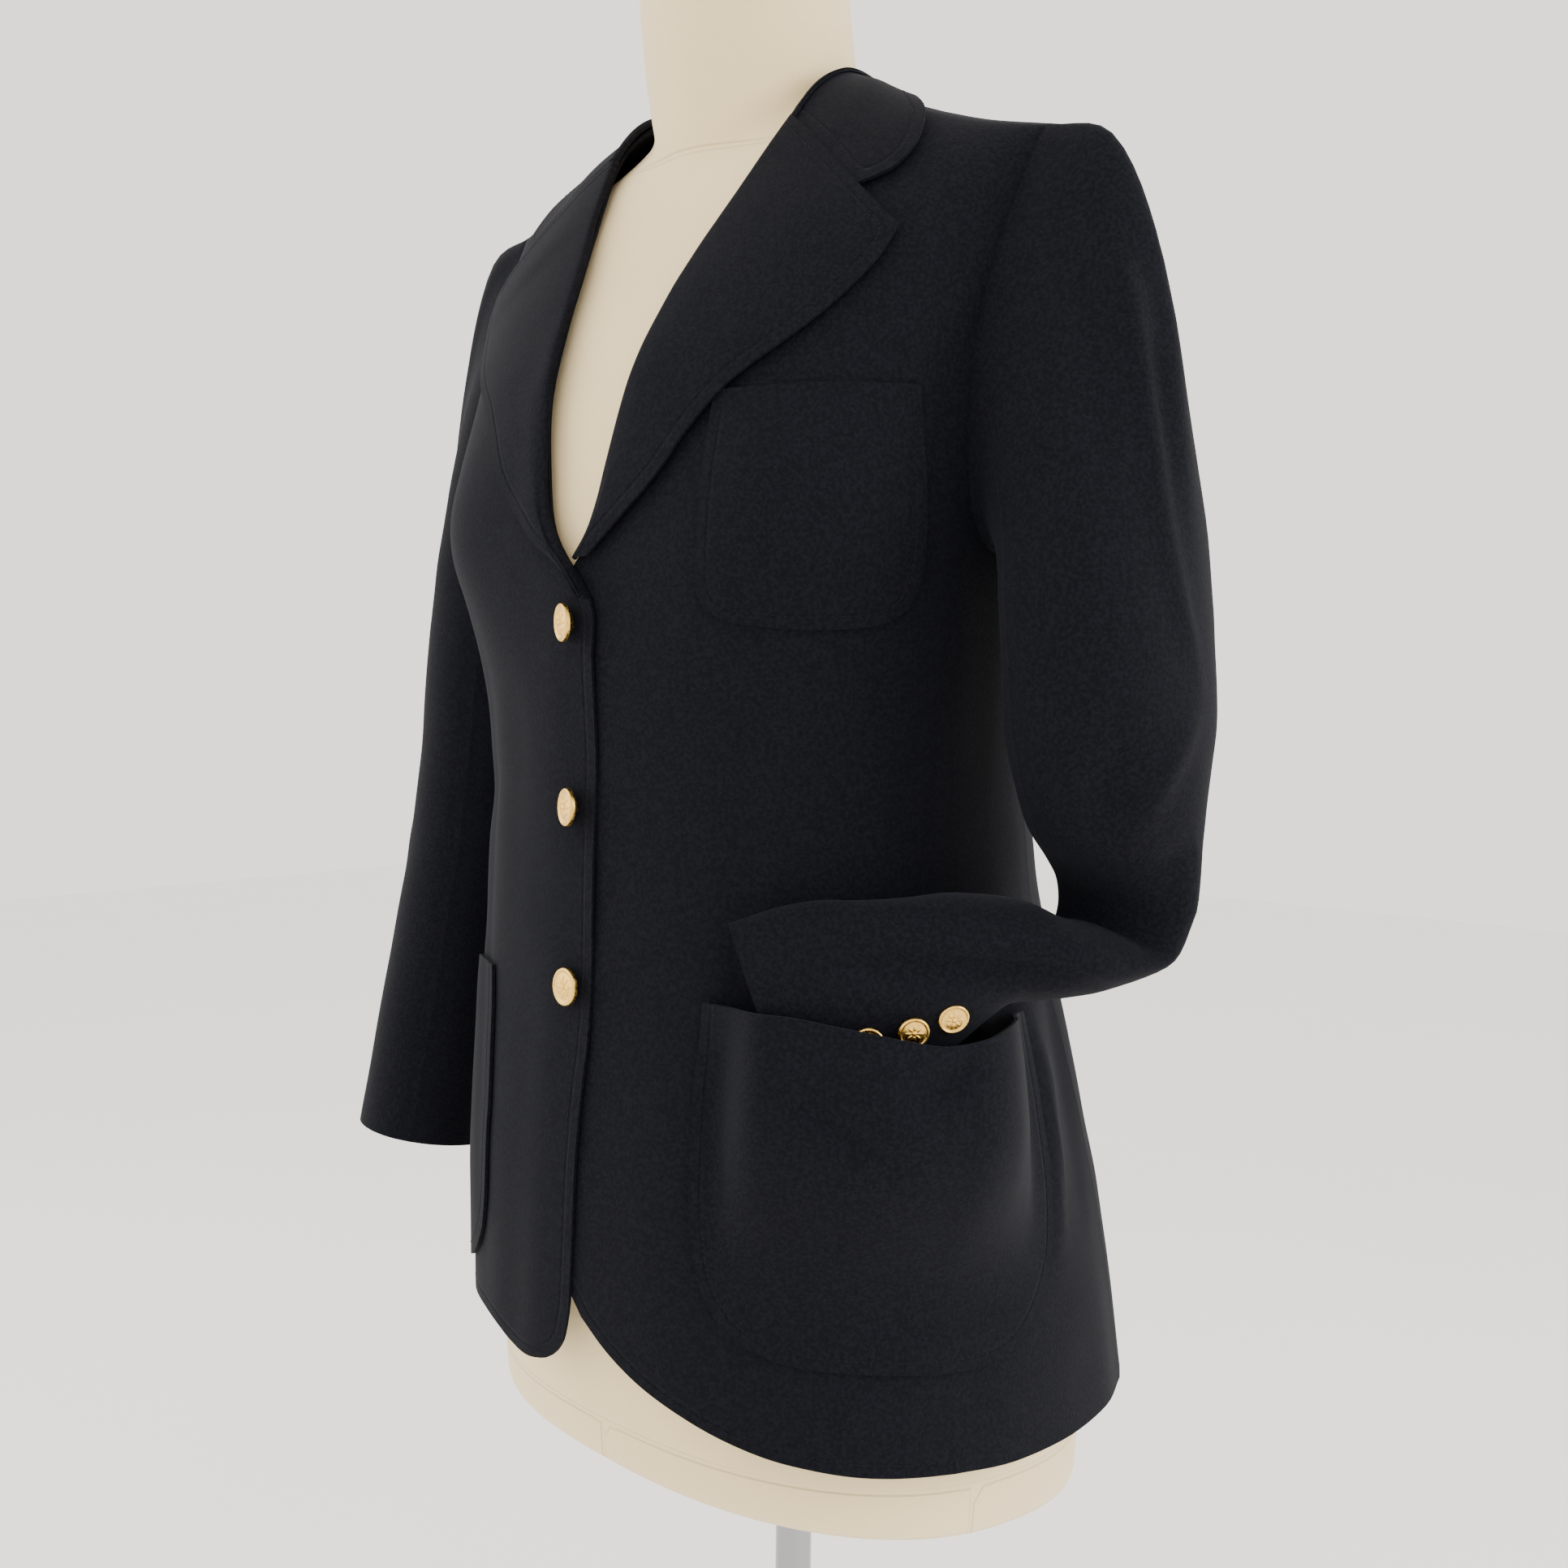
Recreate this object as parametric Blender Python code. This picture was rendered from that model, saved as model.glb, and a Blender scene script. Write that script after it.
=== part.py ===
"""A woman's navy patch-pocket jacket worn by a limbless dress form on a round-based stand.

Metres, +Z up, the wearer faces -Y and the wearer's left is +X. The origin is the centre of the
stand's base, on the floor and on the pole's axis. Every cloth piece is a thin wall cut from one
torso surface or one sleeve surface, the way a tailor cuts it, and the pieces stay a hair apart
at their seams.
"""

import math

import bmesh
import bpy
import mathutils
import numpy as np

# Driving sizes, in metres and degrees
CLOTH = 0.0018
SEAM = 0.0002
LAYER_GAP = 0.0009
BUTTON_R = 0.010
CUFF_BUTTON_R = 0.0078
BUTTON_HEIGHTS = (1.086, 0.990, 0.896)
POLE_R = 0.011
BASE_R = 0.175
BASE_H = 0.012

# The torso of the jacket, one row for each level
TORSO = (
    # height, half width, front depth, back depth, middle y
    (0.64, 0.196, 0.177, 0.196, -0.011),
    (0.70, 0.191, 0.174, 0.187, -0.014),
    (0.78, 0.184, 0.169, 0.172, -0.020),
    (0.86, 0.174, 0.158, 0.154, -0.027),
    (0.95, 0.162, 0.147, 0.133, -0.036),
    (1.02, 0.158, 0.142, 0.123, -0.040),
    (1.085, 0.163, 0.140, 0.118, -0.045),
    (1.14, 0.173, 0.137, 0.117, -0.048),
    (1.21, 0.179, 0.126, 0.120, -0.048),
    (1.25, 0.183, 0.109, 0.122, -0.048),
    (1.29, 0.189, 0.086, 0.119, -0.048),
    (1.33, 0.197, 0.066, 0.110, -0.048),
    (1.39, 0.206, 0.052, 0.096, -0.048),
)
SHOULDER_LINE = (
    # x, height
    (0.000, 1.404),
    (0.067, 1.381),
    (0.115, 1.358),
    (0.200, 1.334),
    (0.250, 1.325),
)
SHOULDER_ROUND = 0.082
SQUARENESS = 0.90
NEAR_TOP = 1.36
GIRTH_R = 0.17
PER_DEGREE = GIRTH_R * math.pi / 180
BUST_AROUND, BUST_HEIGHT = 40.0, 1.138
BUST_SHARE, BUST_WIDE, BUST_TALL = 0.093, 24.0, 0.058


def rows_at(where, table):
    """A table read smoothly at any value of its first column, without overshoot."""
    rows = np.array(table, float)
    key, value = rows[:, 0], rows[:, 1:]
    slope = np.diff(value, axis=0) / np.diff(key)[:, None]
    steep = np.zeros_like(value)
    steep[0], steep[-1] = slope[0], slope[-1]
    same_way = slope[:-1] * slope[1:] > 0
    total = np.where(same_way, slope[:-1] + slope[1:], 1.0)
    steep[1:-1] = np.where(same_way, 2 * slope[:-1] * slope[1:] / total, 0.0)
    where = np.clip(np.asarray(where, float), key[0], key[-1])
    i = np.clip(np.searchsorted(key, where, side="right") - 1, 0, len(key) - 2)
    span = (key[i + 1] - key[i])[..., None]
    s = (where - key[i])[..., None] / span
    return (
        (2 * s**3 - 3 * s**2 + 1) * value[i]
        + (s**3 - 2 * s**2 + s) * span * steep[i]
        + (3 * s**2 - 2 * s**3) * value[i + 1]
        + (s**3 - s**2) * span * steep[i + 1]
    )


def smooth(t):
    """An even step from 0 to 1."""
    t = np.clip(t, 0.0, 1.0)
    return t * t * (3 - 2 * t)


def level_ring(around, height):
    """x and y, from the middle, of the torso's level outline at an angle round it in degrees."""
    half, front, back, _ = np.moveaxis(rows_at(height, TORSO), -1, 0)
    turn = np.radians(around)
    s, c = np.sin(turn), np.cos(turn)
    off = (np.abs(around) - BUST_AROUND) / BUST_WIDE
    up = (height - BUST_HEIGHT) / BUST_TALL
    swell = 1 + BUST_SHARE * np.exp(-(off**2) - up**2)
    x = half * np.sign(s) * np.abs(s) ** SQUARENESS
    y = -np.where(c > 0, front, back) * np.sign(c) * np.abs(c) ** SQUARENESS
    return x * swell, y * swell


def torso(around, down):
    """The jacket's outer face. down is the way over the cloth from the shoulder line."""
    around, down = np.broadcast_arrays(np.asarray(around, float), np.asarray(down, float))
    curl = np.clip(down / SHOULDER_ROUND, 0, math.pi / 2)
    straight = down - SHOULDER_ROUND * (math.pi / 2 - 1)
    drop = np.where(curl < math.pi / 2, SHOULDER_ROUND * (1 - np.cos(curl)), straight)
    height = NEAR_TOP - drop
    for _ in range(6):
        x, y = level_ring(around, height)
        height = rows_at(np.abs(x), SHOULDER_LINE)[..., 0] - drop
    x, y = level_ring(around, height)
    middle = rows_at(height, TORSO)[..., 3]
    return np.stack([x, middle + y * np.sin(curl), height], -1)


def down_at(around, height):
    """How far down the cloth a height lies, at an angle round the torso."""
    x, _ = level_ring(np.asarray(around, float), np.asarray(height, float))
    drop = np.maximum(rows_at(np.abs(x), SHOULDER_LINE)[..., 0] - height, 0)
    curled = SHOULDER_ROUND * np.arccos(np.clip(1 - drop / SHOULDER_ROUND, -1, 1))
    return np.where(drop < SHOULDER_ROUND, curled, drop + SHOULDER_ROUND * (math.pi / 2 - 1))


def around_at(x, height):
    """The angle round the front at which the torso is x from its middle."""
    half = rows_at(height, TORSO)[..., 0]
    share = np.clip(np.abs(x) / half, 0, 1) ** (1 / SQUARENESS)
    return np.degrees(np.sign(x) * np.arcsin(share))


def torso_normal(around, down):
    """The way out of the cloth."""
    step = 1e-4
    sideways = torso(around + math.degrees(step), down) - torso(around - math.degrees(step), down)
    down = np.maximum(down, 2 * step)
    upwards = torso(around, down - step) - torso(around, down + step)
    way = np.cross(sideways, upwards)
    return way / np.linalg.norm(way, axis=-1, keepdims=True)


def lifted(cut, lift):
    """Points on the torso for a cut of (around, down), moved out of the cloth by lift."""
    place, way = torso(cut[..., 0], cut[..., 1]), torso_normal(cut[..., 0], cut[..., 1])
    return place + way * np.asarray(lift, float)[..., None]


# Cutting lines. On a front, x counts from the centre front, positive on the front's own side
FRONT_EDGES = {
    # x, height, from the round corner at the hem up to the break of the lapel
    "left": (
        (0.0105, 0.7220),
        (0.0000, 0.7350),
        (-0.0080, 0.7520),
        (-0.0125, 0.7800),
        (-0.0140, 0.8200),
        (-0.0140, 0.9500),
        (-0.0140, 1.0970),
    ),
    "right": (
        (0.0035, 0.6965),
        (-0.0005, 0.7080),
        (-0.0030, 0.7220),
        (-0.0060, 0.7600),
        (-0.0085, 0.8200),
        (-0.0140, 0.9000),
        (-0.0140, 1.0970),
    ),
}
CORNER_HEMS = {
    # degrees round, height, from the round corner to where both hems are alike
    "left": (
        (2.3, 0.7220),
        (6.0, 0.7100),
        (10.5, 0.6995),
        (15.0, 0.6910),
        (23.6, 0.6790),
        (29.0, 0.6732),
        (36.0, 0.6670),
        (52.0, 0.6590),
    ),
    "right": (
        (1.0, 0.6965),
        (6.0, 0.6907),
        (10.5, 0.6900),
        (15.0, 0.6930),
        (23.6, 0.6985),
        (29.0, 0.6995),
        (36.0, 0.6990),
        (45.0, 0.6920),
        (52.0, 0.6810),
        (60.0, 0.6680),
    ),
}
HEM = (
    (67.0, 0.6560),
    (90.0, 0.6520),
    (118.0, 0.6520),
    (150.0, 0.6560),
    (180.0, 0.6580),
)
ROLL_LINE = (
    # x, height, from the break of the lapel up to the side of the neck
    (-0.0140, 1.0970),
    (0.0000, 1.1160),
    (0.0145, 1.1370),
    (0.0225, 1.1700),
    (0.0300, 1.2100),
    (0.0375, 1.2480),
    (0.0475, 1.2840),
    (0.0580, 1.3200),
    (0.0650, 1.3560),
)
SIDE_SEAM = (
    # height, degrees round
    (0.64, 67.0),
    (0.74, 69.0),
    (0.86, 72.5),
    (0.98, 75.5),
    (1.06, 78.0),
    (1.15, 81.0),
)
BACK_SEAM = (
    # height, degrees round
    (0.64, 119.0),
    (0.74, 117.0),
    (0.86, 112.0),
    (0.98, 106.0),
    (1.06, 106.0),
    (1.15, 108.0),
)
ARMHOLE_FRONT = (
    # degrees round, height, from the shoulder point to under the arm
    (77.5, 1.3100),
    (76.0, 1.2700),
    (75.5, 1.2200),
    (77.0, 1.1700),
    (80.5, 1.1400),
    (86.0, 1.1260),
    (94.0, 1.1220),
)
ARMHOLE_BACK = (
    (103.0, 1.3100),
    (106.0, 1.2700),
    (109.0, 1.2200),
    (110.5, 1.1700),
    (108.0, 1.1400),
    (102.0, 1.1260),
    (94.0, 1.1220),
)
SHOULDER_POINT = 78.5
ARMHOLE_CELLS, SIDE_TOP_CELLS = 12, 2
SIDE_SHARE = 1 - SIDE_TOP_CELLS / ARMHOLE_CELLS
NECK_SIDE = 16.5
GORGE_IN, GORGE_OUT = (16.8, 0.0750), (37.3, 0.0995)
NECK_FRONT = (16.6, 0.0350)
ROLL_TOP = 1.335
# A height and the way down to it add up to about this beside the arm
SEAM_TOP = 1.42


def along(points, count, metric=(PER_DEGREE, 1.0)):
    """count + 1 points at even steps along the smooth line through points."""
    points = np.array(points, float)
    scale = np.array(metric + (1.0,) * (points.shape[1] - 2))
    reach = np.r_[0, np.cumsum(np.linalg.norm(np.diff(points * scale, axis=0), axis=1))]
    table = np.column_stack([reach, points])
    fine = rows_at(np.linspace(0, reach[-1], 400), table)
    run = np.r_[0, np.cumsum(np.linalg.norm(np.diff(fine * scale, axis=0), axis=1))]
    even = np.linspace(0, run[-1], count + 1)
    return np.stack([np.interp(even, run, fine[:, i]) for i in range(points.shape[1])], -1)


def joined(first, second, first_steps, second_steps):
    """Two lines that meet, each in even steps of its own, as one line with its corner kept."""
    return np.concatenate([along(first, first_steps)[:-1], along(second, second_steps)])


def cut_of(line):
    """(around, height) rows made (around, down) rows."""
    line = np.asarray(line, float)
    return np.stack([line[..., 0], down_at(line[..., 0], line[..., 1])], -1)


def cut_of_x(line):
    """(x, height) rows of the front made (around, down) rows."""
    line = np.asarray(line, float)
    around = around_at(line[..., 0], line[..., 1])
    return cut_of(np.stack([around, line[..., 1]], -1))


def spread(left, right, bottom, top):
    """A cut's grid of (around, down), filled in evenly between its four edges."""
    rows, cols = len(left), len(bottom)
    v = np.linspace(0, 1, rows)[:, None, None]
    u = np.linspace(0, 1, cols)[None, :, None]
    across = left[:, None] * (1 - u) + right[:, None] * u
    upward = bottom[None] * (1 - v) + top[None] * v
    corners = (
        left[0] * (1 - u) * (1 - v)
        + right[0] * u * (1 - v)
        + left[-1] * (1 - u) * v
        + right[-1] * u * v
    )
    return across + upward - corners


def armhole(side, share):
    """(around, down) on the armhole, from the shoulder point at share 0 to under the arm at 1."""
    table, point = (
        (ARMHOLE_FRONT, SHOULDER_POINT) if side == "front" else (ARMHOLE_BACK, 180 - SHOULDER_POINT)
    )
    line = np.concatenate([[[point, 2 * SEAM]], cut_of(table)])
    even = along(line, 200)
    share = np.asarray(share, float) * 200
    return np.stack([np.interp(share, np.arange(201), even[:, i]) for i in range(2)], -1)


def seam_line(table, bottom, top, count, shift):
    """A seam in even steps from the hem at bottom to the armhole's point top."""
    low, high = bottom[1], top[1]
    heights = np.linspace(0, 1, count + 1)
    down = low + (high - low) * heights
    guess = rows_at(SEAM_TOP - down, table)[:, 0]
    ends = bottom[0] * (1 - heights) + top[0] * heights
    line = rows_at(np.array([SEAM_TOP - low, SEAM_TOP - high]), table)[:, 0]
    drift = ends - (line[0] * (1 - heights) + line[1] * heights)
    return np.stack([guess + drift + shift, down], -1)


def hem_cut(table, first, last, count):
    """The hem between two angles."""
    between = [row for row in table if first < row[0] < last]
    ends = rows_at(np.array([first, last]), table)[:, 0]
    return cut_of(along([(first, ends[0]), *between, (last, ends[1])], count))


SEAM_TURN = math.degrees(SEAM / GIRTH_R)
FRONT_CELLS, BACK_CELLS, NECK_CELLS, NECK_ROWS = 11, 9, 3, 3
LOW_ROWS, HIGH_ROWS = 14, ARMHOLE_CELLS - SIDE_TOP_CELLS
SIDE_CELLS = 2 * SIDE_TOP_CELLS


def front_cut(side):
    """A front, from its round hem corner up to the shoulder, cut along the lapel's roll line."""
    edge = along(FRONT_EDGES[side], LOW_ROWS, (1.0, 1.0))
    roll = [*cut_of_x([row for row in ROLL_LINE if row[1] < ROLL_TOP]), GORGE_IN]
    neck = [GORGE_IN, NECK_FRONT, (NECK_SIDE, 2 * SEAM)]
    upper = joined(roll, neck, HIGH_ROWS - NECK_ROWS, NECK_ROWS)
    inner = np.concatenate([cut_of_x(edge[:-1]), upper])
    hem_table = CORNER_HEMS[side] + HEM
    hem = hem_cut(hem_table, hem_table[0][0], SIDE_SEAM[0][1], FRONT_CELLS)
    hem[0] = inner[0]
    split = armhole("front", SIDE_SHARE)
    low = seam_line(SIDE_SEAM, hem[-1], split, LOW_ROWS, -SEAM_TURN)
    high = armhole("front", np.linspace(SIDE_SHARE, 0, HIGH_ROWS + 1))
    outer = np.concatenate([low[:-1], high])
    hem[-1] = outer[0]
    return spread(inner, outer, hem, np.linspace(inner[-1], outer[-1], FRONT_CELLS + 1))


def side_cut():
    """The panel under the arm, between the front and the back."""
    hem = hem_cut(HEM, SIDE_SEAM[0][1], BACK_SEAM[0][1], SIDE_CELLS)
    shares = np.linspace(SIDE_SHARE, 2 - SIDE_SHARE, SIDE_CELLS + 1)
    front, back = armhole("front", np.minimum(shares, 1)), armhole("back", np.minimum(2 - shares, 1))
    top = np.where(shares[:, None] <= 1, front, back)
    left = seam_line(SIDE_SEAM, hem[0], top[0], LOW_ROWS, SEAM_TURN)
    right = seam_line(BACK_SEAM, hem[-1], top[-1], LOW_ROWS, -SEAM_TURN)
    hem[[0, -1]], top[[0, -1]] = (left[0], right[0]), (left[-1], right[-1])
    return spread(left, right, hem, top)


NECKLINE = (
    # degrees from the middle, way down the back, from the shoulder to the nape
    (NECK_SIDE, 2 * SEAM),
    (14.8, 0.0200),
    (11.5, 0.0450),
    (6.0, 0.0700),
    (0.0, 0.0825),
)


def back_cut():
    """A back, from the seam beside the side panel to the centre back seam."""
    hem = hem_cut(HEM, BACK_SEAM[0][1], 180.0, BACK_CELLS)
    low = seam_line(BACK_SEAM, hem[0], armhole("back", SIDE_SHARE), LOW_ROWS, SEAM_TURN)
    high = armhole("back", np.linspace(SIDE_SHARE, 0, HIGH_ROWS + 1))
    outer = np.concatenate([low[:-1], high])
    neck = along(NECKLINE, NECK_CELLS)
    neck[:, 0] = 180 - neck[:, 0]
    neck[-1, 0] -= math.degrees(SEAM / TORSO[-1][3])
    rows = LOW_ROWS + HIGH_ROWS
    centre = np.linspace([neck[-1, 0], hem[-1, 1]], neck[-1], rows + 1)
    hem[[0, -1]] = outer[0], centre[0]
    shoulder = np.linspace(outer[-1], neck[0], BACK_CELLS - NECK_CELLS + 1)
    return spread(outer, centre, hem, np.concatenate([shoulder[:-1], neck]))


LAP_FADES, LAP_WIDE = 0.050, 0.030
DRAWN_IN, DRAWN_FROM, DRAWN_TALL = 0.012, 0.880, 0.200


def lift_at(side, cut):
    """How far the cloth stands out of the torso, at rows of (around, down).

    The right front laps over the left one, and the right side hangs closer in at the hem.
    """
    place = torso(cut[..., 0], cut[..., 1])
    if side == "left":
        return np.zeros_like(place[..., 0])
    lap = (CLOTH + LAYER_GAP) * smooth((LAP_FADES - place[..., 0]) / LAP_WIDE)
    lap *= cut[..., 0] < 90.0
    aside = np.sin(np.radians(np.clip(cut[..., 0], 0, 180))) ** 2
    return lap - DRAWN_IN * aside * smooth((DRAWN_FROM - place[..., 2]) / DRAWN_TALL)


# The yoke's places are (degrees from the middle, way down), negative down the back
def yoke(place):
    """Points over the shoulders, and the way out there."""
    behind = place[..., 1] < 0
    around = np.where(behind, 180 - place[..., 0], place[..., 0])
    down = np.abs(place[..., 1])
    return torso(around, down), torso_normal(around, down)


LAPEL_EDGE = (
    # degrees round, way down, from the break to the tip
    (3.4, 0.3270),
    (10.0, 0.3010),
    (16.8, 0.2720),
    (22.0, 0.2410),
    (27.5, 0.2130),
    (34.3, 0.1890),
    (40.4, 0.1690),
    (45.6, 0.1480),
    (49.5, 0.1290),
    (50.9, 0.1205),
    (50.3, 0.1150),
)
LAPEL_STARTS = {
    # the roll line's height there, then the outer edge's degrees round and way down
    "left": (1.1190, ((3.4, 0.3270),)),
    "right": (1.0995, ((-3.0, 0.3470), (0.5, 0.3350), (3.4, 0.3270))),
}
ROLL_CLEAR = 0.01
LAPEL_ROWS, GORGE_CELLS, NOTCH_CELLS = 14, 3, 2
ROLLED_EDGE = (
    # step past the roll line and lift, of the face, then the same of the underside
    (-0.0010, 0.0007, 0.0009, 0.0007),
    (-0.0007, 0.0030, 0.0011, 0.0014),
    (0.0022, 0.0046, 0.0026, 0.0026),
)
LEAF_LIFT = (
    # share of the way to the outer edge, lift of the face
    (0.00, 0.0052),
    (0.30, 0.0058),
    (1.00, 0.0050),
)


def lapel_walls(side):
    """The turned-back part of a front: a rolled edge, then a leaf that lies over the chest."""
    start_height, first_points = LAPEL_STARTS[side]
    by_height = [row[::-1] for row in ROLL_LINE]
    ends = [(float(rows_at(h, by_height)[0]), h) for h in (start_height, ROLL_TOP)]
    between = [row for row in ROLL_LINE if start_height < row[1] < ROLL_TOP - ROLL_CLEAR]
    roll = cut_of_x(along([ends[0], *between, ends[1]], LAPEL_ROWS, (1.0, 1.0)))
    edge = along(first_points + LAPEL_EDGE[1:], LAPEL_ROWS)
    roll[-1] = (GORGE_IN[0], GORGE_IN[1] + 3 * SEAM)
    notch = (GORGE_OUT[0], GORGE_OUT[1] + 3 * SEAM)
    top = joined([roll[-1], notch], [notch, edge[-1]], GORGE_CELLS, NOTCH_CELLS)
    leaf = spread(roll, edge, np.linspace(roll[0], edge[0], len(top)), top)
    way = leaf[:, 1] - leaf[:, 0]
    way = way / np.linalg.norm(way * (PER_DEGREE, 1.0), axis=1, keepdims=True)
    faces, undersides = [], []
    for face_step, face_lift, under_step, under_lift in ROLLED_EDGE:
        for walls, step, lift in (
            (faces, face_step, face_lift),
            (undersides, under_step, under_lift),
        ):
            base = leaf[:, 0] + way * step
            walls.append(lifted(base, lift + lift_at(side, base)))
    for i in range(1, leaf.shape[1]):
        base = leaf[:, i]
        lift = rows_at(i / (leaf.shape[1] - 1), LEAF_LIFT)[0] + lift_at(side, base)
        faces.append(lifted(base, lift))
        undersides.append(lifted(base, lift - CLOTH))
    return np.stack(faces, 1), np.stack(undersides, 1)


COLLAR_SEAM = (
    # yoke place of the fold and neck seam, from the gorge round to the nape
    GORGE_IN,
    NECK_FRONT,
    (16.5, 0.0020),
    (16.2, -0.0080),
    (14.8, -0.0200),
    (11.5, -0.0450),
    (6.0, -0.0700),
    (0.0, -0.0825),
)
COLLAR_EDGE = (
    # yoke place of the leaf's edge, from the notch round to the nape
    GORGE_OUT,
    (41.3, 0.0885),
    (43.9, 0.0780),
    (43.5, 0.0660),
    (41.9, 0.0500),
    (38.2, 0.0300),
    (31.5, 0.0080),
    (27.0, -0.0120),
    (22.0, -0.0400),
    (15.0, -0.0700),
    (8.0, -0.0900),
    (0.0, -0.0965),
)
STAND = (
    # share of the way round to the nape, height of the stand, how upright it is
    (0.00, 0.0005, 0.0),
    (0.25, 0.0007, 0.1),
    (0.45, 0.0020, 0.3),
    (0.70, 0.0090, 0.8),
    (1.00, 0.0212, 1.0),
)
COLLAR_CELLS, LEAF_CELLS, FOLD_CELLS = 13, 4, 4
FOLD_R, FOOT_LIFT = 0.0019, 0.0013
NEARBY = 0.05
LEAF_FROM, LEAF_HIGH, LEAF_LOW = 0.12, 0.0046, 0.0038
UPRIGHT = np.array([0.0, -0.12, 1.0])


def collar_middle():
    """The middle of the collar's wall from the nape to one gorge: stand, fold, then leaf."""
    seam = along(COLLAR_SEAM, COLLAR_CELLS)
    edge = along(COLLAR_EDGE, COLLAR_CELLS)
    foot, out = yoke(seam)
    nearby, _ = yoke(seam + (edge - seam) * NEARBY)
    sheet = np.stack([rows_at(k / COLLAR_CELLS, STAND) for k in range(COLLAR_CELLS + 1)])
    height, upright = sheet[:, :1], sheet[:, 1:]
    rise = out * (1 - upright) + UPRIGHT * upright
    rise /= np.linalg.norm(rise, axis=1, keepdims=True)
    away = (nearby - foot) / np.linalg.norm(nearby - foot, axis=1, keepdims=True) + out * upright
    away -= rise * (away * rise).sum(1, keepdims=True)
    away /= np.linalg.norm(away, axis=1, keepdims=True)
    low = foot + rise * FOOT_LIFT
    columns = [low, low + rise * height * 0.5]
    top = low + rise * height
    for k in range(FOLD_CELLS + 1):
        turn = math.pi * k / FOLD_CELLS
        columns.append(top + FOLD_R * (away * (1 - math.cos(turn)) + rise * math.sin(turn)))
    for share in np.linspace(0, 1, LEAF_CELLS + 1)[1:]:
        point, way = yoke(seam + (edge - seam) * (LEAF_FROM + (1 - LEAF_FROM) * share))
        columns.append(point + way * (LEAF_HIGH + (LEAF_LOW - LEAF_HIGH) * share))
    half = np.stack(columns, 1)
    other = half[:-1][::-1] * (-1.0, 1.0, 1.0)
    return np.concatenate([half, other])


# Sleeves. Each ring's points run from the outer side to the front, the inner side and the back
RING = 2 * ARMHOLE_CELLS
FRONT_SEAM, BACK_SEAM_AT = 8, 17
CAP_ROWS, TUBE_ROWS = 5, {"left": 17, "right": 11}
FINE_STEPS, BEND_PASSES = 600, 220
CAP_OUT, CAP_SIDEWAYS = 0.35, 0.9
SLEEVES = {
    # x, y, height, half thickness outwards, half thickness forwards, heading in degrees
    "left": (
        (0.2300, -0.0440, 1.1000, 0.0480, 0.0620, 0),
        (0.2330, -0.0420, 1.0400, 0.0500, 0.0570, 0),
        (0.2330, -0.0350, 0.9950, 0.0455, 0.0430, -2),
        (0.2335, -0.0250, 0.9650, 0.0420, 0.0225, -3),
        (0.2305, -0.0215, 0.9400, 0.0390, 0.0150, -4),
        (0.2260, -0.0290, 0.9245, 0.0390, 0.0150, -5),
        (0.2135, -0.0560, 0.9215, 0.0385, 0.0200, -8),
        (0.1960, -0.0865, 0.9270, 0.0300, 0.0285, -14),
        (0.1800, -0.1110, 0.9180, 0.0225, 0.0385, -24),
        (0.1600, -0.1345, 0.9055, 0.0170, 0.0500, -35),
        (0.1380, -0.1538, 0.8955, 0.0130, 0.0560, -47),
        (0.1195, -0.1660, 0.8870, 0.0108, 0.0560, -55),
    ),
    "right": (
        (0.2200, -0.0340, 1.1000, 0.0500, 0.0600, 0),
        (0.2280, -0.0480, 0.9500, 0.0460, 0.0590, -3),
        (0.2360, -0.0600, 0.8850, 0.0440, 0.0570, -8),
        (0.2540, -0.0780, 0.7570, 0.0420, 0.0550, -12),
    ),
}
CAP_PULL = (
    # share of the way from the top to under the arm, pull out of the armhole, pull along the arm
    (0.00, 0.215, 0.137),
    (0.25, 0.095, 0.135),
    (0.50, 0.085, 0.110),
    (0.75, 0.050, 0.045),
    (1.00, 0.034, 0.006),
)


def tube_rings(side):
    """The sleeve below the arm's pit: rings round its middle line, and the way along it."""
    table = np.array(SLEEVES[side], float)
    reach = np.r_[0, np.cumsum(np.linalg.norm(np.diff(table[:, :3], axis=0), axis=1))]
    fine = rows_at(np.linspace(0, reach[-1], FINE_STEPS), np.column_stack([reach, table]))
    for _ in range(BEND_PASSES):
        fine[1:-1, :3] = (fine[:-2, :3] + fine[1:-1, :3] * 2 + fine[2:, :3]) / 4
    ahead = np.gradient(fine[:, :3], axis=0)
    ahead[0] = (0.0, 0.0, -1.0)
    even = np.linspace(0, FINE_STEPS - 1, TUBE_ROWS[side] + 1).round().astype(int)
    middle, thick, forward, heading = fine[even, :3], fine[even, 3], fine[even, 4], fine[even, 5]
    ahead = ahead[even] / np.linalg.norm(ahead[even], axis=1, keepdims=True)
    turn = np.radians(heading)
    outward = np.stack([np.cos(turn), np.sin(turn), 0 * turn], -1)
    outward -= ahead * (outward * ahead).sum(1, keepdims=True)
    outward /= np.linalg.norm(outward, axis=1, keepdims=True)
    frontward = np.cross(ahead, outward)
    angle = np.arange(RING) * 2 * math.pi / RING
    rings = (
        middle[:, None]
        + (thick[:, None] * np.cos(angle))[..., None] * outward[:, None]
        + (forward[:, None] * np.sin(angle))[..., None] * frontward[:, None]
    )
    return rings, ahead[0]


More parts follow.
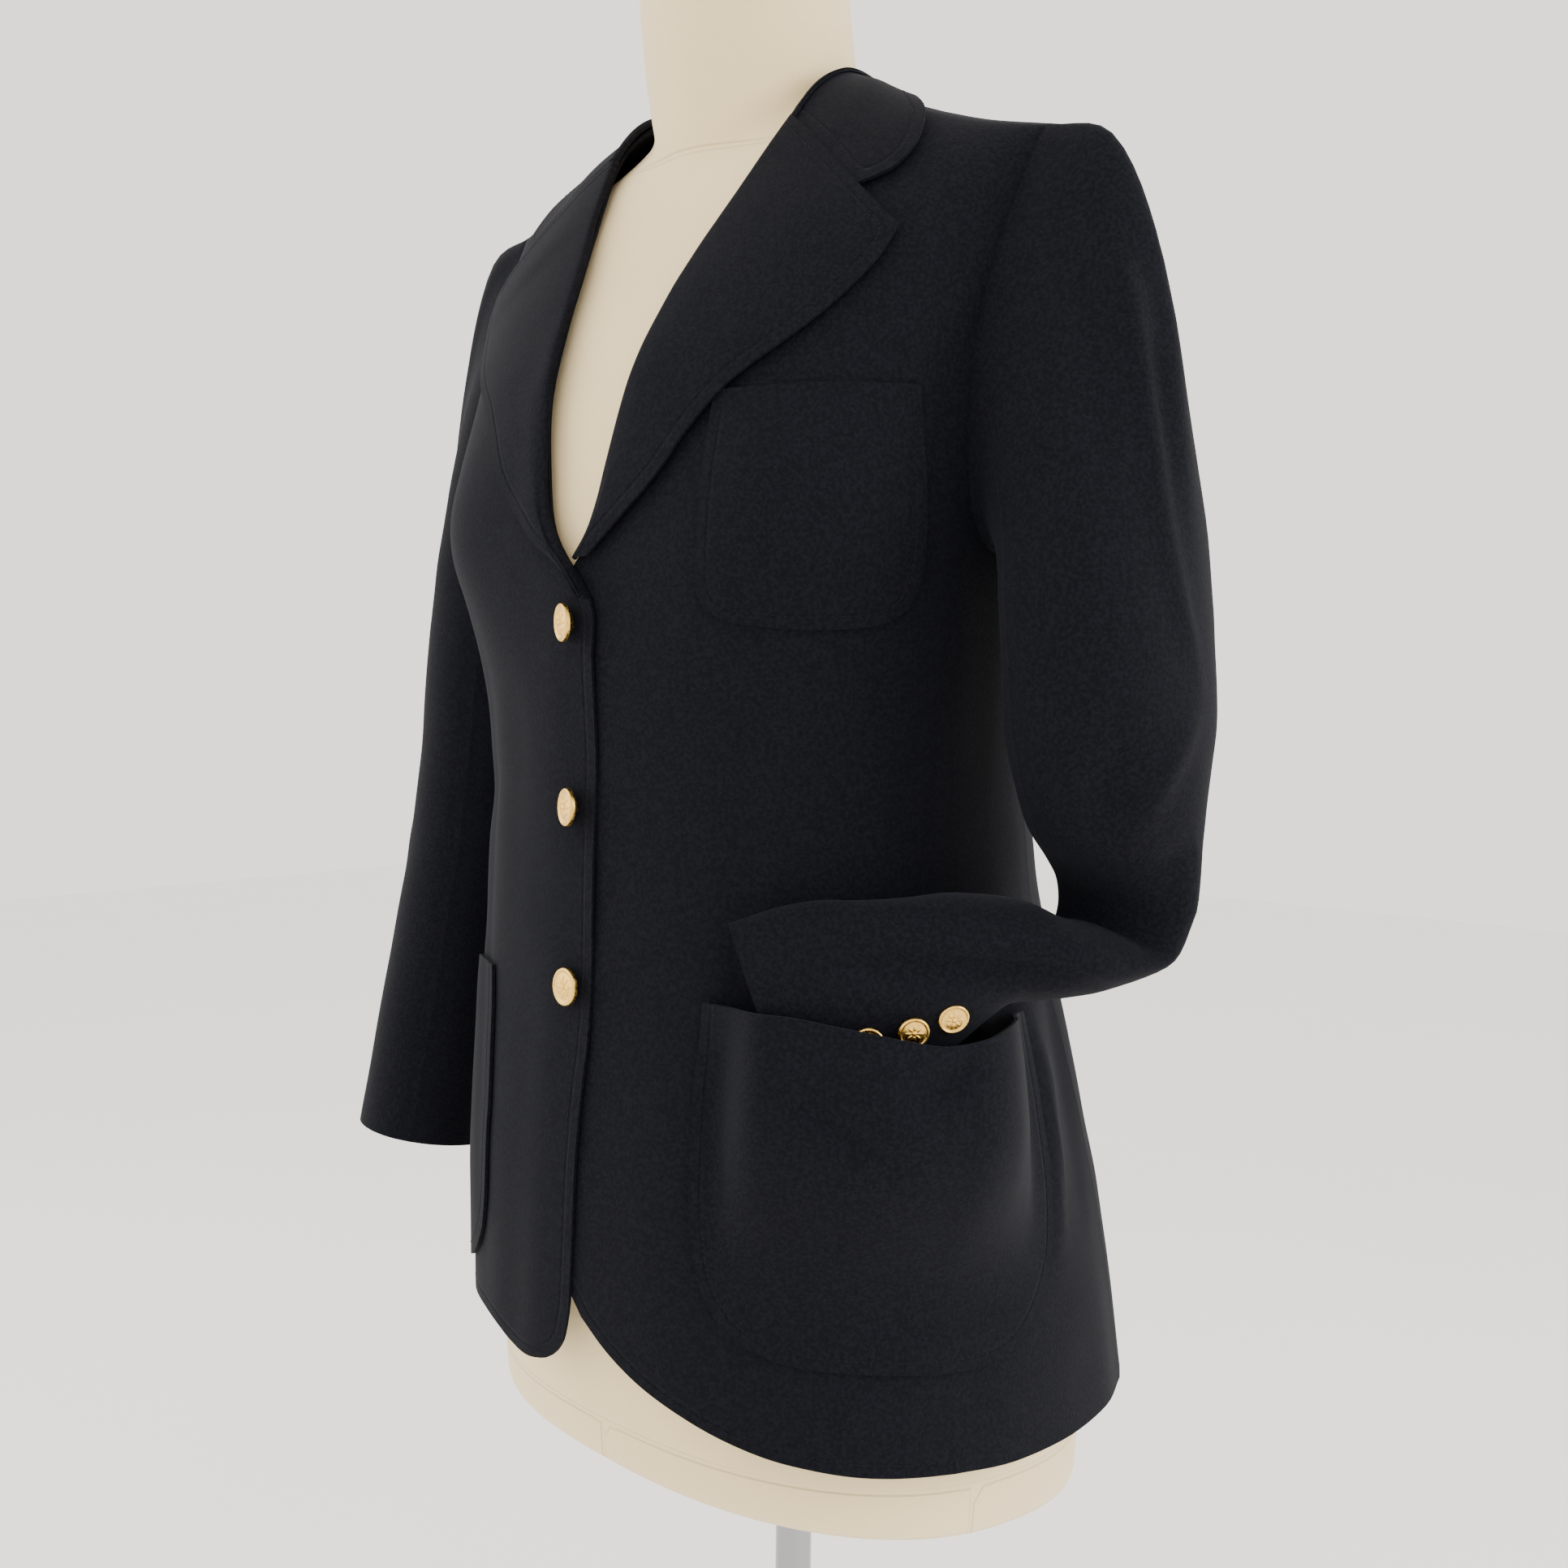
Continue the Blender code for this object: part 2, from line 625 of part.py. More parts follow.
def sleeve_rings(side):
    """The whole sleeve, from its seam at the armhole over the cap and down to the cuff."""
    tube, down_arm = tube_rings(side)
    index = np.arange(RING)
    share = np.minimum(index, RING - index) / (RING / 2)
    in_front = index <= RING / 2
    places = np.where(in_front[:, None], armhole("front", share), armhole("back", share))
    start, out = torso(places[:, 0], places[:, 1]), torso_normal(places[:, 0], places[:, 1])
    away = np.cross(out, np.roll(start, -1, axis=0) - np.roll(start, 1, axis=0))
    start += away / np.linalg.norm(away, axis=1, keepdims=True) * 3 * SEAM
    way_out = out * CAP_OUT + np.array([CAP_SIDEWAYS, 0.0, 0.0])
    way_out /= np.linalg.norm(way_out, axis=1, keepdims=True)
    pull = np.stack([rows_at(part, CAP_PULL) for part in share])
    t = np.linspace(0, 1, CAP_ROWS + 1)[:-1, None, None]
    cap = (
        (2 * t**3 - 3 * t**2 + 1) * start
        + (t**3 - 2 * t**2 + t) * way_out * pull[:, :1]
        + (3 * t**2 - 2 * t**3) * tube[0]
        + (t**3 - t**2) * down_arm * pull[:, 1:]
    )
    return np.concatenate([cap, tube])


def ways_out(grid, closed):
    """The way out of a grid of points, at each of them."""
    around = np.concatenate([grid[:, -1:], grid, grid[:, :1]], 1) if closed else grid
    across = np.gradient(around, axis=1)
    across = across[:, 1:-1] if closed else across
    way = np.cross(across, np.gradient(grid, axis=0))
    return way / np.linalg.norm(way, axis=-1, keepdims=True)


def sleeve_walls(side, first, last):
    """The strip of a sleeve between two of its seams, as its face and its inner side."""
    rings = sleeve_rings(side)
    inner = rings - ways_out(rings, True) * CLOTH
    columns = np.arange(first, last + 1)
    walls = [rings[:, columns % RING], inner[:, columns % RING]]
    for wall in walls:
        for end, beside in ((0, 1), (-1, -2)):
            way = wall[:, beside] - wall[:, end]
            wall[:, end] += way / np.linalg.norm(way, axis=1, keepdims=True) * SEAM
    return walls


# Patch pockets: each side runs from the middle of a round bottom corner up to the mouth
CHEST_POCKET = {
    "inner": ((27.2, 1.0925), (25.6, 1.1010), (25.2, 1.1150), (24.8, 1.1500), (24.4, 1.1990)),
    "bottom": (
        (27.2, 1.0925),
        (30.0, 1.0875),
        (34.0, 1.0855),
        (45.0, 1.0830),
        (58.0, 1.0845),
        (63.5, 1.0880),
        (66.6, 1.0940),
    ),
    "outer": ((66.6, 1.0940), (68.3, 1.1030), (68.6, 1.1150), (66.8, 1.1500), (63.5, 1.2020)),
    "mouth": ((24.4, 1.1990), (44.0, 1.2010), (63.5, 1.2020)),
}
HIP_POCKET = {
    "inner": (
        (25.2, 0.7460),
        (23.6, 0.7630),
        (23.0, 0.7950),
        (23.6, 0.8400),
        (26.0, 0.8960),
    ),
    "bottom": (
        (25.2, 0.7460),
        (27.5, 0.7355),
        (32.0, 0.7245),
        (37.5, 0.7180),
        (52.7, 0.7120),
        (72.6, 0.7080),
        (80.0, 0.7120),
        (86.0, 0.7265),
    ),
    "outer": (
        (86.0, 0.7265),
        (89.0, 0.7400),
        (91.5, 0.7650),
        (92.7, 0.8000),
        (92.8, 0.8340),
        (91.3, 0.8840),
    ),
    "mouth": (
        (26.0, 0.8960),
        (38.0, 0.8960),
        (54.0, 0.8870),
        (65.0, 0.8790),
        (78.0, 0.8850),
        (91.3, 0.8840),
    ),
}
POCKET_CELLS = {"chest": (8, 8), "hip": (12, 10)}
CUFF_BULGE = (
    # degrees round, how far the cuff in the left hip pocket holds its mouth off
    (23.0, 0.0000),
    (29.0, 0.0030),
    (35.5, 0.0265),
    (46.0, 0.0350),
    (54.0, 0.0430),
    (62.0, 0.0455),
    (70.0, 0.0480),
    (76.0, 0.0390),
    (82.0, 0.0230),
    (88.0, 0.0060),
    (93.0, 0.0000),
)
BULGE_FROM, BULGE_TO = 0.735, 0.845


def pocket_cut(outline, cells):
    """A patch pocket's grid on the torso."""
    columns, rows = cells
    left, right = cut_of(along(outline["inner"], rows)), cut_of(along(outline["outer"], rows))
    bottom, top = cut_of(along(outline["bottom"], columns)), cut_of(along(outline["mouth"], columns))
    return spread(left, right, bottom, top)


def pocket_lift(kind, side, cut):
    """How far a pocket's face stands out of the torso."""
    lift = lift_at(side, cut) + CLOTH + LAYER_GAP
    if (kind, side) == ("hip", "left"):
        height = torso(cut[..., 0], cut[..., 1])[..., 2]
        bulge = rows_at(cut[..., 0], CUFF_BULGE)[..., 0]
        lift += bulge * smooth((height - BULGE_FROM) / (BULGE_TO - BULGE_FROM))
    return lift


# The dress form
FORM_SINK, FORM_SLACK = 0.0057, 0.0048
FORM_BOTTOM = 0.617
NECK_MIDDLE, NECK_LEAN, LEAN_FROM = -0.050, -0.16, 1.36
NECK_FROM, NECK_BLEND = 1.26, 0.0015
TORSO_TOP = TORSO[-1][0]
HIP_TILT = (-0.089, -0.115)
LEVEL_FROM, LEVEL_TALL = 0.74, 0.123
FORM_POINTS = 32
FORM_HEIGHTS = (
    0.617, 0.64, 0.68, 0.74, 0.81, 0.88, 0.95, 1.02, 1.08, 1.12, 1.16, 1.20, 1.24, 1.27,
    1.295, 1.315, 1.33, 1.343, 1.355, 1.367, 1.38, 1.40, 1.44, 1.475,
)
NECK_R = (
    # height, radius of the neck
    (1.20, 0.0400),
    (1.33, 0.0520),
    (1.36, 0.0575),
    (1.40, 0.0592),
    (1.475, 0.0570),
)
HIP_SLACK = (
    # height, how far the cloth flares off the form
    (0.617, 0.023),
    (0.70, 0.017),
    (0.80, 0.010),
    (0.90, 0.005),
    (1.05, 0.001),
    (1.20, 0.000),
)


def form_ring(height):
    """The form's level outline: the cloth's own outline drawn in, joined with the neck."""
    level = height + FORM_SINK
    angle = np.linspace(-180, 180, 721)
    half = rows_at(min(level, TORSO_TOP), TORSO)[0]
    line = np.array(SHOULDER_LINE)
    reach = min(half, float(np.interp(-level, -line[:, 1], line[:, 0])))
    x, y = level_ring(angle, min(level, TORSO_TOP))
    x = x * reach / half
    drop = np.maximum(rows_at(np.abs(x), SHOULDER_LINE)[..., 0] - level, 0)
    curl = np.arccos(np.clip(1 - drop / SHOULDER_ROUND, 0, 1))
    y = y * np.sin(curl) + rows_at(min(level, TORSO_TOP), TORSO)[3]
    middle = NECK_MIDDLE + NECK_LEAN * max(0.0, height - LEAN_FROM)
    trunk = np.hypot(x, y - middle) - FORM_SLACK
    turn = np.degrees(np.arctan2(x, -(y - middle)))
    order = np.argsort(turn)
    want = np.linspace(-180, 180, FORM_POINTS, endpoint=False)
    radius = np.interp(want, turn[order], trunk[order], period=360)
    radius = np.maximum(radius, 0.0)
    radius -= rows_at(height, HIP_SLACK)[0]
    neck = rows_at(height, NECK_R)[0]
    if height > NECK_FROM:
        peak = np.maximum(radius, neck)
        both = np.exp((radius - peak) / NECK_BLEND) + np.exp((neck - peak) / NECK_BLEND)
        radius = peak + np.log(both) * NECK_BLEND
    turn = np.radians(want)
    x, y = radius * np.sin(turn), middle - radius * np.cos(turn)
    rise = (x * HIP_TILT[0] + y * HIP_TILT[1]) * np.clip((LEVEL_FROM - height) / LEVEL_TALL, 0, 1)
    return np.stack([x, y, height + rise], -1)


# Blender objects
def metal_or_cloth(name, colour, roughness, metallic=0.0):
    """A material from its colour, roughness and metallic value."""
    material = bpy.data.materials.new(name)
    material.use_nodes = True
    shader = material.node_tree.nodes["Principled BSDF"]
    shader.inputs["Base Color"].default_value = (*colour, 1.0)
    shader.inputs["Roughness"].default_value = roughness
    shader.inputs["Metallic"].default_value = metallic
    material.diffuse_color = (*colour, 1.0)
    return material


SHARP_FROM = 40
NAVY, JERSEY, GOLD = (0.010, 0.012, 0.022), (0.78, 0.74, 0.66), (0.72, 0.52, 0.22)
CHROME, ENAMEL = (0.62, 0.62, 0.64), (0.70, 0.69, 0.67)
FINISHES = {
    # colour, roughness, metallic
    "cloth": (NAVY, 0.9, 0.0),
    "jersey": (JERSEY, 0.85, 0.0),
    "button": (GOLD, 0.35, 1.0),
    "pole": (CHROME, 0.2, 1.0),
    "base": (ENAMEL, 0.4, 0.0),
}


def add_object(name, mesh_bm, finish, side="left"):
    """One closed body as an object with a material of its own, mirrored for the right side."""
    if side == "right":
        bmesh.ops.scale(mesh_bm, vec=(-1, 1, 1), verts=mesh_bm.verts)
    bmesh.ops.recalc_face_normals(mesh_bm, faces=mesh_bm.faces)
    mesh = bpy.data.meshes.new(name)
    mesh_bm.to_mesh(mesh)
    mesh_bm.free()
    mesh.shade_smooth()
    mesh.set_sharp_from_angle(angle=math.radians(SHARP_FROM))
    mesh.materials.append(metal_or_cloth(name, *FINISHES[finish]))
    thing = bpy.data.objects.new(name, mesh)
    bpy.context.scene.collection.objects.link(thing)
    return thing


def shell(face, inside):
    """A closed thin wall between two like grids of points."""
    mesh = bmesh.new()
    grids = []
    for grid in (face, inside):
        grids.append([[mesh.verts.new(point) for point in row] for row in grid])
    outer, inner = grids
    rows, columns = len(outer), len(outer[0])
    for i in range(rows - 1):
        for j in range(columns - 1):
            mesh.faces.new((outer[i][j], outer[i][j + 1], outer[i + 1][j + 1], outer[i + 1][j]))
            mesh.faces.new((inner[i][j], inner[i + 1][j], inner[i + 1][j + 1], inner[i][j + 1]))
    rim = [(0, j) for j in range(columns - 1)]
    rim += [(i, columns - 1) for i in range(rows - 1)]
    rim += [(rows - 1, j) for j in range(columns - 1, 0, -1)]
    rim += [(i, 0) for i in range(rows - 1, 0, -1)]
    for (i, j), (k, m) in zip(rim, rim[1:] + rim[:1]):
        mesh.faces.new((outer[i][j], inner[i][j], inner[k][m], outer[k][m]))
    return mesh


def turned(profile, points):
    """A body turned round +Z from rows of (radius, height), closed at both ends."""
    mesh = bmesh.new()
    rings = []
    for radius, height in profile:
        turns = [2 * math.pi * k / points for k in range(points)]
        place = [(radius * math.cos(t), radius * math.sin(t), height) for t in turns]
        rings.append([mesh.verts.new(p) for p in place])
    close_rings(mesh, rings)
    return mesh


def close_rings(mesh, rings):
    """Faces between rings of points, and one flat face at each end."""
    points = len(rings[0])
    for low, high in zip(rings, rings[1:]):
        for k in range(points):
            m = (k + 1) % points
            mesh.faces.new((low[k], low[m], high[m], high[k]))
    mesh.faces.new(rings[0][::-1])
    mesh.faces.new(rings[-1])


def add_panels():
    """Fronts, side panels and backs."""
    for side in ("left", "right"):
        for name, cut in (
            ("front", front_cut(side)),
            ("side_panel", side_cut()),
            ("back", back_cut()),
        ):
            lift = lift_at(side, cut)
            body = shell(lifted(cut, lift), lifted(cut, lift - CLOTH))
            add_object(f"{name}_{side}", body, "cloth", side)


def add_collar_and_lapels():
    """The notched collar in one piece, and the two lapels."""
    for side in ("left", "right"):
        add_object(f"lapel_{side}", shell(*lapel_walls(side)), "cloth", side)
    middle = collar_middle()
    way = ways_out(middle, False) * (CLOTH / 2)
    add_object("collar", shell(middle + way, middle - way), "cloth")


def add_sleeves():
    """Top sleeves and under sleeves."""
    for side in ("left", "right"):
        top = sleeve_walls(side, BACK_SEAM_AT, RING + FRONT_SEAM)
        under = sleeve_walls(side, FRONT_SEAM, BACK_SEAM_AT)
        add_object(f"top_sleeve_{side}", shell(*top), "cloth", side)
        add_object(f"under_sleeve_{side}", shell(*under), "cloth", side)


def add_pockets():
    """The patch pockets."""
    for name, kind, side, outline in (
        ("chest_pocket", "chest", "left", CHEST_POCKET),
        ("hip_pocket_left", "hip", "left", HIP_POCKET),
        ("hip_pocket_right", "hip", "right", HIP_POCKET),
    ):
        cut = pocket_cut(outline, POCKET_CELLS[kind])
        lift = pocket_lift(kind, side, cut)
        add_object(name, shell(lifted(cut, lift), lifted(cut, lift - CLOTH)), "cloth", side)


CUFF_BUTTONS = {
    # row of the sleeve's grid, column of it
    "left": ((18.1, 22.1), (19.0, 22.4), (19.9, 22.7)),
    "right": ((13.6, 18.2), (14.3, 18.2), (15.0, 18.2)),
}
BUTTON_GAP = 0.0007
FRONT_TILTS = (
    # degrees towards the wearer's right, length of the shank
    (24.0, 0.0040),
    (22.0, 0.0037),
    (8.0, 0.0022),
)
SHANK_SHARE = 0.22
FRONT_POINTS, CUFF_POINTS = 18, 14
BUTTON = (
    # share of the radius, height over the back of the disc
    (0.80, 0.0000),
    (1.00, 0.0008),
    (1.00, 0.0020),
    (0.90, 0.0028),
    (0.45, 0.0034),
)


def add_button(name, radius, place, way, points, side="left", shank=()):
    """A metal button, its disc's back at place, facing way."""
    mesh = turned([(share * radius, height) for share, height in (*shank, *BUTTON)], points)
    turn = mathutils.Vector(way).to_track_quat("Z", "Y").to_matrix().to_4x4()
    mesh.transform(mathutils.Matrix.Translation(place) @ turn)
    add_object(name, mesh, "button", side)


def add_buttons():
    """Three buttons down the front and three on each sleeve."""
    for k, (height, (tilt, length)) in enumerate(zip(BUTTON_HEIGHTS, FRONT_TILTS)):
        cut = cut_of(np.array([[0.0, height]]))
        place = lifted(cut, lift_at("right", cut) + length + BUTTON_GAP)[0]
        turn = mathutils.Matrix.Rotation(-math.radians(tilt), 3, "Z")
        way = turn @ mathutils.Vector(torso_normal(cut[:, 0], cut[:, 1])[0])
        shank = ((SHANK_SHARE, -length), (SHANK_SHARE, 0.0))
        add_button(f"front_button_{k + 1}", BUTTON_R, place, way, FRONT_POINTS, "left", shank)
    for side in ("left", "right"):
        rings = sleeve_rings(side)
        outs = ways_out(rings, True)
        for k, (row, column) in enumerate(CUFF_BUTTONS[side]):
            low, left = int(row), int(column)
            place = blend_of(rings, low, left, row - low, column - left)
            way = blend_of(outs, low, left, row - low, column - left)
            way /= np.linalg.norm(way)
            name = f"sleeve_button_{side}_{k + 1}"
            add_button(name, CUFF_BUTTON_R, place + way * BUTTON_GAP, way, CUFF_POINTS, side)


def blend_of(grid, row, column, down, across):
    """A value between four neighbours of a closed grid."""
    a, b = column % RING, (column + 1) % RING
    first = grid[row][a] * (1 - across) + grid[row][b] * across
    second = grid[row + 1][a] * (1 - across) + grid[row + 1][b] * across
    return first * (1 - down) + second * down


HIP_ROUND, HIP_DROP = 0.81, 0.013
CROWN = (
    # share of the neck's width, rise over its top
    (0.85, 0.009),
    (0.50, 0.015),
)
BASE_RIM = (
    # in from the base's edge, down from its top
    (0.000, 0.004),
    (0.003, 0.001),
    (0.008, 0.000),
    (0.145, 0.000),
)
STAND_GAP, POLE_POINTS, BASE_POINTS = 0.0003, 24, 48


def add_form_and_stand():
    """The limbless form, whole from hips to neck, its pole and its round base."""
    rings = [form_ring(height) for height in FORM_HEIGHTS]
    below, above = rings[0].mean(0), rings[-1].mean(0)
    rounded = [below + (rings[0] - below) * HIP_ROUND - (0, 0, HIP_DROP), *rings]
    rounded += [above + (rings[-1] - above) * share + (0, 0, rise) for share, rise in CROWN]
    mesh = bmesh.new()
    close_rings(mesh, [[mesh.verts.new(place) for place in ring] for ring in rounded])
    add_object("dress_form", mesh, "jersey")
    pole_top = FORM_BOTTOM - HIP_DROP - POLE_R * math.hypot(*HIP_TILT) - STAND_GAP
    pole = ((POLE_R, BASE_H + STAND_GAP), (POLE_R, pole_top))
    add_object("stand_pole", turned(pole, POLE_POINTS), "pole")
    base = [(BASE_R - in_by, BASE_H - down_by) for in_by, down_by in BASE_RIM]
    add_object("stand_base", turned([(BASE_R, 0.0), *base], BASE_POINTS), "base")


for leftover in list(bpy.data.objects):
    bpy.data.objects.remove(leftover)
add_panels()
add_collar_and_lapels()
add_sleeves()
add_pockets()
add_buttons()
add_form_and_stand()
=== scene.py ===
# %% [markdown]
# # A navy jacket on a dress form
# The object is a woman's tailored jacket, shown on a cream dress form with no limbs. The packed
# CAD model gives the frame: metres, +Z up, the wearer faces -Y, and the wearer's left is +X.
# Every cloth piece is made here again, much finer, on the same surface that its solid stands for,
# so the pieces still meet at their seams.

# %% Load the frame
import math

import bpy
import bmesh
import mathutils
import numpy as np
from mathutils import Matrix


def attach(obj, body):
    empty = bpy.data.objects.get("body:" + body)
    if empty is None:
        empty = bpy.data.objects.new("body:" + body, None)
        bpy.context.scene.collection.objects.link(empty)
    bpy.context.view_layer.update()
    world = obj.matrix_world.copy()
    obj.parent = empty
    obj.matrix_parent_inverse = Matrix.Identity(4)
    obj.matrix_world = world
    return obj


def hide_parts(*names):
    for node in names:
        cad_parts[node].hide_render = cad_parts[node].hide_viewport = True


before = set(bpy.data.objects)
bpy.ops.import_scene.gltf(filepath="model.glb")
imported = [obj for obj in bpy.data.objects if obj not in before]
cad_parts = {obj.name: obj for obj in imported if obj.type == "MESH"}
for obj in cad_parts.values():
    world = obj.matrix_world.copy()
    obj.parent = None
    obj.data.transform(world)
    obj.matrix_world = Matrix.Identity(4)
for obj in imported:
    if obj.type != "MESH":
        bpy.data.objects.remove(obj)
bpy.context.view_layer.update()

bpy.ops.object.select_all(action="DESELECT")

# %% [markdown]
# ## Sizes and the torso
# A jacket hangs from the shoulders, so its surface is read in two numbers: the angle round the
# body, and the way down the cloth from the shoulder line. A table of levels gives the outline at
# each height. Reading the table with a smooth curve avoids flat bands between its rows.

# %% Sizes and levels of the torso
# Driving sizes, in metres and degrees
CLOTH = 0.0018
SEAM = 0.00002
LAYER_GAP = 0.0009
BUTTON_R = 0.010
CUFF_BUTTON_R = 0.0078
BUTTON_HEIGHTS = (1.086, 0.990, 0.896)
POLE_R = 0.011
BASE_R = 0.175
BASE_H = 0.012
FINER = 4

# The torso of the jacket, one row for each level
TORSO = (
    # height, half width, front depth, back depth, middle y
    (0.64, 0.196, 0.177, 0.196, -0.011),
    (0.70, 0.191, 0.174, 0.187, -0.014),
    (0.78, 0.184, 0.169, 0.172, -0.020),
    (0.86, 0.174, 0.158, 0.154, -0.027),
    (0.95, 0.162, 0.147, 0.133, -0.036),
    (1.02, 0.158, 0.142, 0.123, -0.040),
    (1.085, 0.163, 0.140, 0.118, -0.045),
    (1.14, 0.173, 0.137, 0.117, -0.048),
    (1.21, 0.179, 0.126, 0.120, -0.048),
    (1.25, 0.183, 0.109, 0.122, -0.048),
    (1.29, 0.189, 0.086, 0.119, -0.048),
    (1.33, 0.197, 0.066, 0.110, -0.048),
    (1.39, 0.206, 0.052, 0.096, -0.048),
)
SHOULDER_LINE = (
    # x, height
    (0.000, 1.404),
    (0.067, 1.381),
    (0.115, 1.358),
    (0.200, 1.334),
    (0.250, 1.325),
)
SHOULDER_ROUND = 0.082
SQUARENESS = 0.90
NEAR_TOP = 1.36
GIRTH_R = 0.17
PER_DEGREE = GIRTH_R * math.pi / 180
BUST_AROUND, BUST_HEIGHT = 40.0, 1.138
BUST_SHARE, BUST_WIDE, BUST_TALL = 0.093, 24.0, 0.058

# %% Read a table smoothly
def rows_at(where, table):
    """A table read smoothly at any value of its first column, without overshoot."""
    rows = np.array(table, float)
    key, value = rows[:, 0], rows[:, 1:]
    slope = np.diff(value, axis=0) / np.diff(key)[:, None]
    steep = np.zeros_like(value)
    steep[0], steep[-1] = slope[0], slope[-1]
    same_way = slope[:-1] * slope[1:] > 0
    total = np.where(same_way, slope[:-1] + slope[1:], 1.0)
    steep[1:-1] = np.where(same_way, 2 * slope[:-1] * slope[1:] / total, 0.0)
    where = np.clip(np.asarray(where, float), key[0], key[-1])
    i = np.clip(np.searchsorted(key, where, side="right") - 1, 0, len(key) - 2)
    span = (key[i + 1] - key[i])[..., None]
    s = (where - key[i])[..., None] / span
    return (
        (2 * s**3 - 3 * s**2 + 1) * value[i]
        + (s**3 - 2 * s**2 + s) * span * steep[i]
        + (3 * s**2 - 2 * s**3) * value[i + 1]
        + (s**3 - s**2) * span * steep[i + 1]
    )


def smooth(t):
    """An even step from 0 to 1."""
    t = np.clip(t, 0.0, 1.0)
    return t * t * (3 - 2 * t)

# %% The torso surface
def level_ring(around, height):
    """x and y, from the middle, of the torso's level outline at an angle round it in degrees."""
    half, front, back, _ = np.moveaxis(rows_at(height, TORSO), -1, 0)
    turn = np.radians(around)
    s, c = np.sin(turn), np.cos(turn)
    off = (np.abs(around) - BUST_AROUND) / BUST_WIDE
    up = (height - BUST_HEIGHT) / BUST_TALL
    swell = 1 + BUST_SHARE * np.exp(-(off**2) - up**2)
    x = half * np.sign(s) * np.abs(s) ** SQUARENESS
    y = -np.where(c > 0, front, back) * np.sign(c) * np.abs(c) ** SQUARENESS
    return x * swell, y * swell


def torso(around, down):
    """The jacket's outer face. down is the way over the cloth from the shoulder line."""
    around, down = np.broadcast_arrays(np.asarray(around, float), np.asarray(down, float))
    curl = np.clip(down / SHOULDER_ROUND, 0, math.pi / 2)
    straight = down - SHOULDER_ROUND * (math.pi / 2 - 1)
    drop = np.where(curl < math.pi / 2, SHOULDER_ROUND * (1 - np.cos(curl)), straight)
    height = NEAR_TOP - drop
    for _ in range(6):
        x, y = level_ring(around, height)
        height = rows_at(np.abs(x), SHOULDER_LINE)[..., 0] - drop
    x, y = level_ring(around, height)
    middle = rows_at(height, TORSO)[..., 3]
    return np.stack([x, middle + y * np.sin(curl), height], -1)


def down_at(around, height):
    """How far down the cloth a height lies, at an angle round the torso."""
    x, _ = level_ring(np.asarray(around, float), np.asarray(height, float))
    drop = np.maximum(rows_at(np.abs(x), SHOULDER_LINE)[..., 0] - height, 0)
    curled = SHOULDER_ROUND * np.arccos(np.clip(1 - drop / SHOULDER_ROUND, -1, 1))
    return np.where(drop < SHOULDER_ROUND, curled, drop + SHOULDER_ROUND * (math.pi / 2 - 1))


def around_at(x, height):
    """The angle round the front at which the torso is x from its middle."""
    half = rows_at(height, TORSO)[..., 0]
    share = np.clip(np.abs(x) / half, 0, 1) ** (1 / SQUARENESS)
    return np.degrees(np.sign(x) * np.arcsin(share))


def torso_normal(around, down):
    """The way out of the cloth."""
    step = 1e-4
    sideways = torso(around + math.degrees(step), down) - torso(around - math.degrees(step), down)
    down = np.maximum(down, 2 * step)
    upwards = torso(around, down - step) - torso(around, down + step)
    way = np.cross(sideways, upwards)
    return way / np.linalg.norm(way, axis=-1, keepdims=True)


def lifted(cut, lift):
    """Points on the torso for a cut of (around, down), moved out of the cloth by lift."""
    place, way = torso(cut[..., 0], cut[..., 1]), torso_normal(cut[..., 0], cut[..., 1])
    return place + way * np.asarray(lift, float)[..., None]

# %% [markdown]
# ## Cutting lines
# Each line below is where a tailor cuts or sews: the front edges, the hem, the roll line of the
# lapel, the seams under the arm and the armholes. They are short tables, read smoothly.

# %% Front edges, hem, seams and armholes
# Cutting lines. On a front, x counts from the centre front, positive on the front's own side
FRONT_EDGES = {
    # x, height, from the round corner at the hem up to the break of the lapel
    "left": (
        (0.0105, 0.7220),
        (0.0000, 0.7350),
        (-0.0080, 0.7520),
        (-0.0125, 0.7800),
        (-0.0140, 0.8200),
        (-0.0140, 0.9500),
        (-0.0140, 1.0970),
    ),
    "right": (
        (0.0035, 0.6965),
        (-0.0005, 0.7080),
        (-0.0030, 0.7220),
        (-0.0060, 0.7600),
        (-0.0085, 0.8200),
        (-0.0140, 0.9000),
        (-0.0140, 1.0970),
    ),
}
CORNER_HEMS = {
    # degrees round, height, from the round corner to where both hems are alike
    "left": (
        (2.3, 0.7220),
        (6.0, 0.7100),
        (10.5, 0.6995),
        (15.0, 0.6910),
        (23.6, 0.6790),
        (29.0, 0.6732),
        (36.0, 0.6670),
        (52.0, 0.6590),
    ),
    "right": (
        (1.0, 0.6965),
        (6.0, 0.6907),
        (10.5, 0.6900),
        (15.0, 0.6930),
        (23.6, 0.6985),
        (29.0, 0.6995),
        (36.0, 0.6990),
        (45.0, 0.6920),
        (52.0, 0.6810),
        (60.0, 0.6680),
    ),
}
HEM = (
    (67.0, 0.6560),
    (90.0, 0.6520),
    (118.0, 0.6520),
    (150.0, 0.6560),
    (180.0, 0.6580),
)
ROLL_LINE = (
    # x, height, from the break of the lapel up to the side of the neck
    (-0.0140, 1.0970),
    (0.0000, 1.1160),
    (0.0145, 1.1370),
    (0.0225, 1.1700),
    (0.0300, 1.2100),
    (0.0375, 1.2480),
    (0.0475, 1.2840),
    (0.0580, 1.3200),
    (0.0650, 1.3560),
)
SIDE_SEAM = (
    # height, degrees round
    (0.64, 67.0),
    (0.74, 69.0),
    (0.86, 72.5),
    (0.98, 75.5),
    (1.06, 78.0),
    (1.15, 81.0),
)
